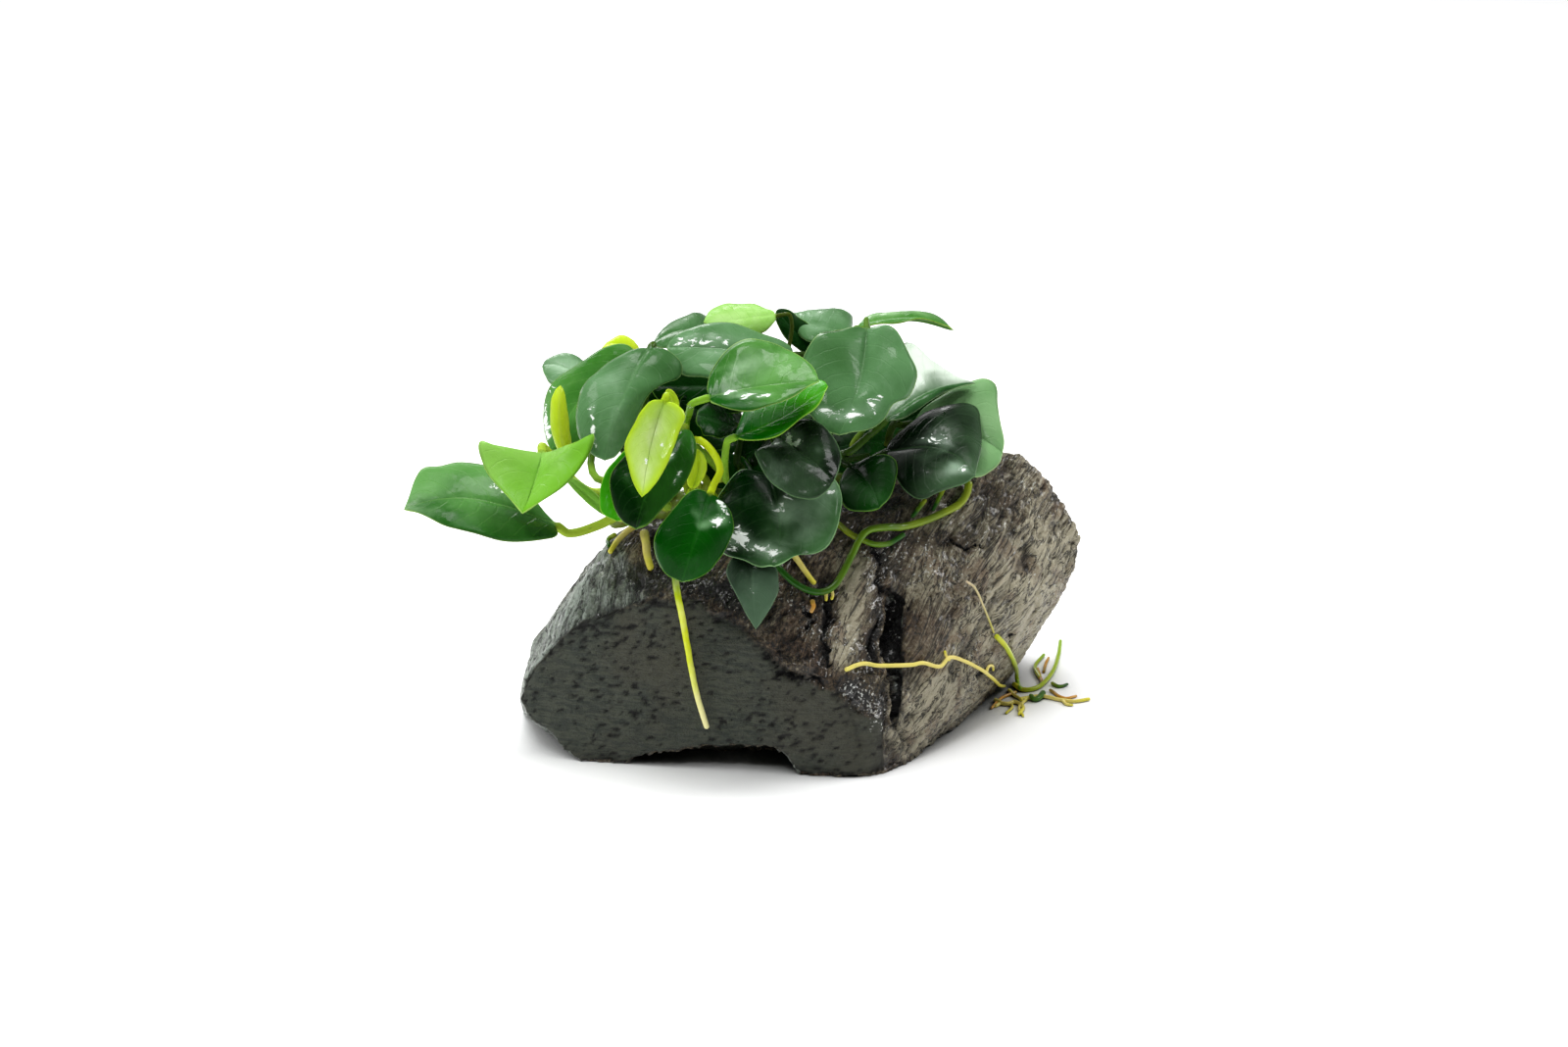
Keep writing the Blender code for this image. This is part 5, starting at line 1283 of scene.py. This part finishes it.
def dress_wood(material):
    """The driftwood's weathered skin."""
    noise.seed_set(WOOD_SEED)
    mesh = even_mesh("driftwood")
    names = ("wood_zone", "wood_mark", "wood_grain", "wood_part")
    layers = [mesh.verts.layers.float_vector.new(name) for name in names]
    for _ in range(WOOD_SOFTENING):
        raised = [vert for vert in mesh.verts if vert.co.z > WOOD_FOOT_M]
        bmesh.ops.smooth_vert(mesh, verts=raised, factor=0.5,
                              use_axis_x=True, use_axis_y=True, use_axis_z=True)
    mesh.normal_update()
    points = np.array([vert.co for vert in mesh.verts]) / MM
    normals = np.array([vert.normal for vert in mesh.verts])
    marks = sighted_marks(points)
    patterns = [wood_noises(Vector(point)) for point in points]
    fibres, lumps, fine, broad, dash, crease = np.array([item[1:] for item in patterns]).T
    front, sawn, left, right, below = wood_zones(marks, normals, lumps, broad)

    depth = (0.6 * fibres + 0.6 * lumps + 0.22 * fine + 0.25 * broad * right) * (1 - sawn)
    depth -= 0.55 * bell(crease, 0.07) * (1 - sawn)
    chips = bell(below, 9.0) * front
    clustered = 0.35 * chips + 0.22 * bell(line_distance(marks, PITTED), 26)
    pits = eased(0.36, 0.56, dash + 0.3 * broad + clustered)
    depth += sawn * (0.06 * fine + 0.12 * broad - 0.4 * pits)
    depth -= chips * eased(-0.1, 0.4, lumps + 0.5 * fine) * 1.0
    depth -= bell(points[:, 2], 2.2) * front * (0.5 + 0.9 * broad + 0.6 * lumps)
    shaken = marks + np.stack((lumps, broad), 1) * 6.0
    for line, width, height in WOOD_FORMS:
        depth += height * bell(line_distance(shaken, line), width) * front
    ring = np.linalg.norm(marks - np.array(KNOT_MIDDLE), axis=1)
    depth += 0.34 * np.sin(ring / 1.9 + 3.5 * lumps) * bell(ring, 24.0) * front
    cleft = cleft_strength(marks + np.stack((lumps + fine, fibres), 1) * 4.5) * front
    depth = np.minimum(depth - 0.1, WOOD_PROUD_MM) - CLEFT_DEPTH_MM * cleft
    wet = strength_of(marks, WET_AND_GLINT_PARTS) * front
    pale = np.maximum(strength_of(marks, PALE_PARTS) * front, BACK_PALENESS * (1 - front))
    # painted shade under the crown and in the crack, and darker wood, take paleness away
    pale -= strength_of(marks, SHADE_AND_DARK_PARTS) * front
    rusty = strength_of(marks, RUSTY_PARTS) * front

    for index, vert in enumerate(mesh.verts):
        vert[layers[0]] = Vector((sawn[index], left[index], right[index]))
        vert[layers[1]] = Vector((pits[index] * sawn[index], cleft[index], depth[index]))
        vert[layers[2]] = patterns[index][0]
        vert[layers[3]] = Vector((wet[index], pale[index], rusty[index]))
        vert.co += Vector(normals[index]) * (depth[index] * MM)
        vert.co.z = max(vert.co.z, 0.0)
    obj = new_piece("weathered_wood", mesh, material)
    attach(obj, "root")
    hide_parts("driftwood")


def search_tree(obj):
    """Search tree of an object's mesh, in millimetres."""
    data = obj.data
    data.calc_loop_triangles()
    points = [vert.co / MM for vert in data.vertices]
    return BVHTree.FromPolygons(points, [tuple(tri.vertices) for tri in data.loop_triangles])


# roots

def on_floor(across, down, lift):
    """The point sighted on the floor, lifted off it."""
    near = sighted(across, down, SIGHT_START_MM)
    ray = sighted(across, down, 0.0) - near
    return near + ray * ((lift - near.z) / ray.z)


def on_wood(tree, across, down, lift):
    """The point sighted on the wood, lifted off it, or on the floor where the wood is missed."""
    near = sighted(across, down, SIGHT_START_MM)
    ray = (sighted(across, down, 0.0) - near).normalized()
    place, normal = tree.ray_cast(near, ray)[:2]
    return place + normal * lift if place else on_floor(across, down, lift)


def root_points(row, tree):
    """Middle line of a root that lies along the wood or the floor."""
    if row["carrier"] == "floor":
        return [on_floor(*point, row["radius"] + ROOT_FLOOR_GAP_MM) for point in row["line"]]
    lift = row["radius"] + ROOT_LIFT_MM
    return [on_wood(tree, across, down, lift + sum(off)) for across, down, *off in row["line"]]


def tube_rings(line, radius_at, steps, sides, seed):
    """Rings of a slightly knobbly tube along a line, rounded off at both ends."""
    rings = []
    side = Vector((0.3, 0.2, 1.0))
    for step in range(-3, steps + 4):
        share = min(1.0, max(0.0, step / steps))
        place = (len(line) - 1) * share
        tangent = line_way(line, place)
        side = (side - tangent * side.dot(tangent)).normalized()
        top = side.cross(tangent)
        over = max(0, -step, step - steps) / 3
        shrink = math.sqrt(max(0.0, 1 - over ** 2)) if over < 1 else 0.12
        centre = line_at(line, place)
        radius = radius_at(share)
        centre = centre + tangent * (radius * over * (1 if step > 0 else -1))
        ring = []
        for corner in range(sides):
            turn = math.tau * corner / sides
            way = side * math.cos(turn) + top * math.sin(turn)
            knob = 1 + 0.09 * noise.noise((centre + way * 2) / 2.2 + Vector((seed, 0, 0)))
            ring.append((centre + way * (radius * shrink * knob), (share, corner / sides, seed)))
        rings.append(ring)
    return rings


def dress_root(row, tree, material, seed, node=None):
    """One root with its knobbly skin."""
    line = root_points(row, tree)
    def radius_at(share):
        return row["radius"] * (1 - ROOT_TAPER * share)
    rings = tube_rings(line, radius_at, (len(line) - 1) * ROOT_STEPS, ROOT_SIDES, seed)
    obj = new_piece("root_skin_" + row["name"], loft(rings, ["root_at"]), material)
    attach(obj, "root")
    if node:
        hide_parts(node)


def dress_rhizome(material):
    """The creeping stem with the scars of old leaves."""
    line = [Vector(point) for point in RHIZOME_LINE_MM]
    def radius_at(share):
        ends = math.sin(math.pi * min(1.0, max(0.0, 0.12 + 0.76 * share))) ** 0.35
        return RHIZOME_RADIUS_MM * (0.9 + 0.07 * math.sin(share * 88.0)) * ends
    mesh = loft(tube_rings(line, radius_at, 120, 28, 5.0), ["root_at"])
    obj = new_piece("stem_skin", mesh, material)
    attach(obj, "root")
    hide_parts("rhizome")


# leaves


def dress_leaf(row, number, materials, replacing=True):
    """One leaf, finely curved and veined."""
    row["seed"] = number * 0.37
    blade_sides(row)
    mesh = loft(leaf_rings(row), ["leaf_mm", "leaf_at", "leaf_part", "leaf_tone", "leaf_painted_glint"])
    obj = new_piece("blade_" + row["name"], mesh, materials[row["look"]])
    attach(obj, "root")
    if replacing:
        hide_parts("leaf_" + row["name"])


# stage

def build_stage():
    """The pale floor, with painted shadow where it is nearly shut in and a painted glow away from the wood.
    """
    mesh = bmesh.new()
    bmesh.ops.create_grid(mesh, x_segments=1, y_segments=1, size=FLOOR_HALF_M)
    floor = mesh_object("floor", mesh)
    material, tree, shader = new_material("pale_floor")
    # painted shadow: the floor darkens where ambient occlusion finds it shut in
    shut = new_node(tree, "ShaderNodeAmbientOcclusion", {"Distance": CONTACT_REACH_M}, samples=8)
    open_share = between(Reading(shut.outputs["AO"]), 0.10, 0.62)
    # painted light: the floor glows away from the wood and not near it, which leaves a painted shadow round
    # it
    x, y, _ = apart(object_place(tree))
    across, deep = (x - 0.012) / 0.062, (y + 0.004) / 0.052
    away = reckon("SQRT", across * across + deep * deep)
    fill(shader, {"Base Color": layered(CONTACT_SHADOW_COLOUR, (open_share, FLOOR_COLOUR)), "Roughness": 0.7,
                  "Emission Color": WHITE, "Emission Strength": between(away, 0.9, 1.45, 0.0, 0.34)})
    floor.data.materials.append(material)


def build_light():
    """Soft white studio light: panels above, behind and at the sides, in a dim room."""
    world = bpy.data.worlds.new("studio")
    bpy.context.scene.world = world
    world.use_nodes = True
    fill(world.node_tree.nodes["Background"], {"Color": WHITE, "Strength": ROOM_LIGHT})
    for name, place, size, power in PANELS:
        data = bpy.data.lights.new(name, "AREA")
        data.shape = "RECTANGLE"
        data.size, data.size_y = size
        data.energy = power
        panel = new_object(name, data)
        panel.location = place
        panel.rotation_euler = (Vector(LIGHT_AIM) - Vector(place)).to_track_quat("-Z", "Y").to_euler()


def build_camera():
    """The view that the plant was sighted from."""
    data = bpy.data.cameras.new("view")
    data.sensor_width = SENSOR_MM
    data.lens = SENSOR_MM * SIGHT_DISTANCE_MM / SIGHT_UNIT_MM / VIEW_WIDTH
    data.clip_start, data.clip_end = 0.01, 50.0
    camera = new_object("view", data)
    camera.location = [measure * MM for measure in EYE_MM]
    camera.rotation_euler = (math.pi / 2 - SIGHT_TILT, 0, 0)
    bpy.context.scene.camera = camera


def main():
    """Everything in order: view, light, wood, roots, stem and leaves."""
    build_camera()
    build_light()
    build_stage()
    bpy.context.scene.view_settings.view_transform = "Standard"
    wood_solid = search_tree(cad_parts["driftwood"])
    dress_wood(wood_material())
    root_looks = {name: root_material(name + "_root", *look[1:]) for name, look in ROOT_LOOKS.items()}
    for number, row in enumerate(ROOTS):
        dress_root(row, wood_solid, root_looks[row["look"]], number * 1.7, "root_" + row["name"])
    for number, row in enumerate(ROOTLETS):
        dress_root(row, wood_solid, root_looks[row["look"]], number * 2.3)
    dress_rhizome(root_material("creeping_stem", *STEM_TONES, 0.6))
    markings = leaf_markings_group()
    materials = {name: leaf_material(name, markings) for name in LOOKS}
    for number, row in enumerate(LEAVES):
        dress_leaf(row, number + 1, materials)
    for number, row in enumerate(INNER_LEAVES):
        dress_leaf(row, number + 41, materials, False)


main()
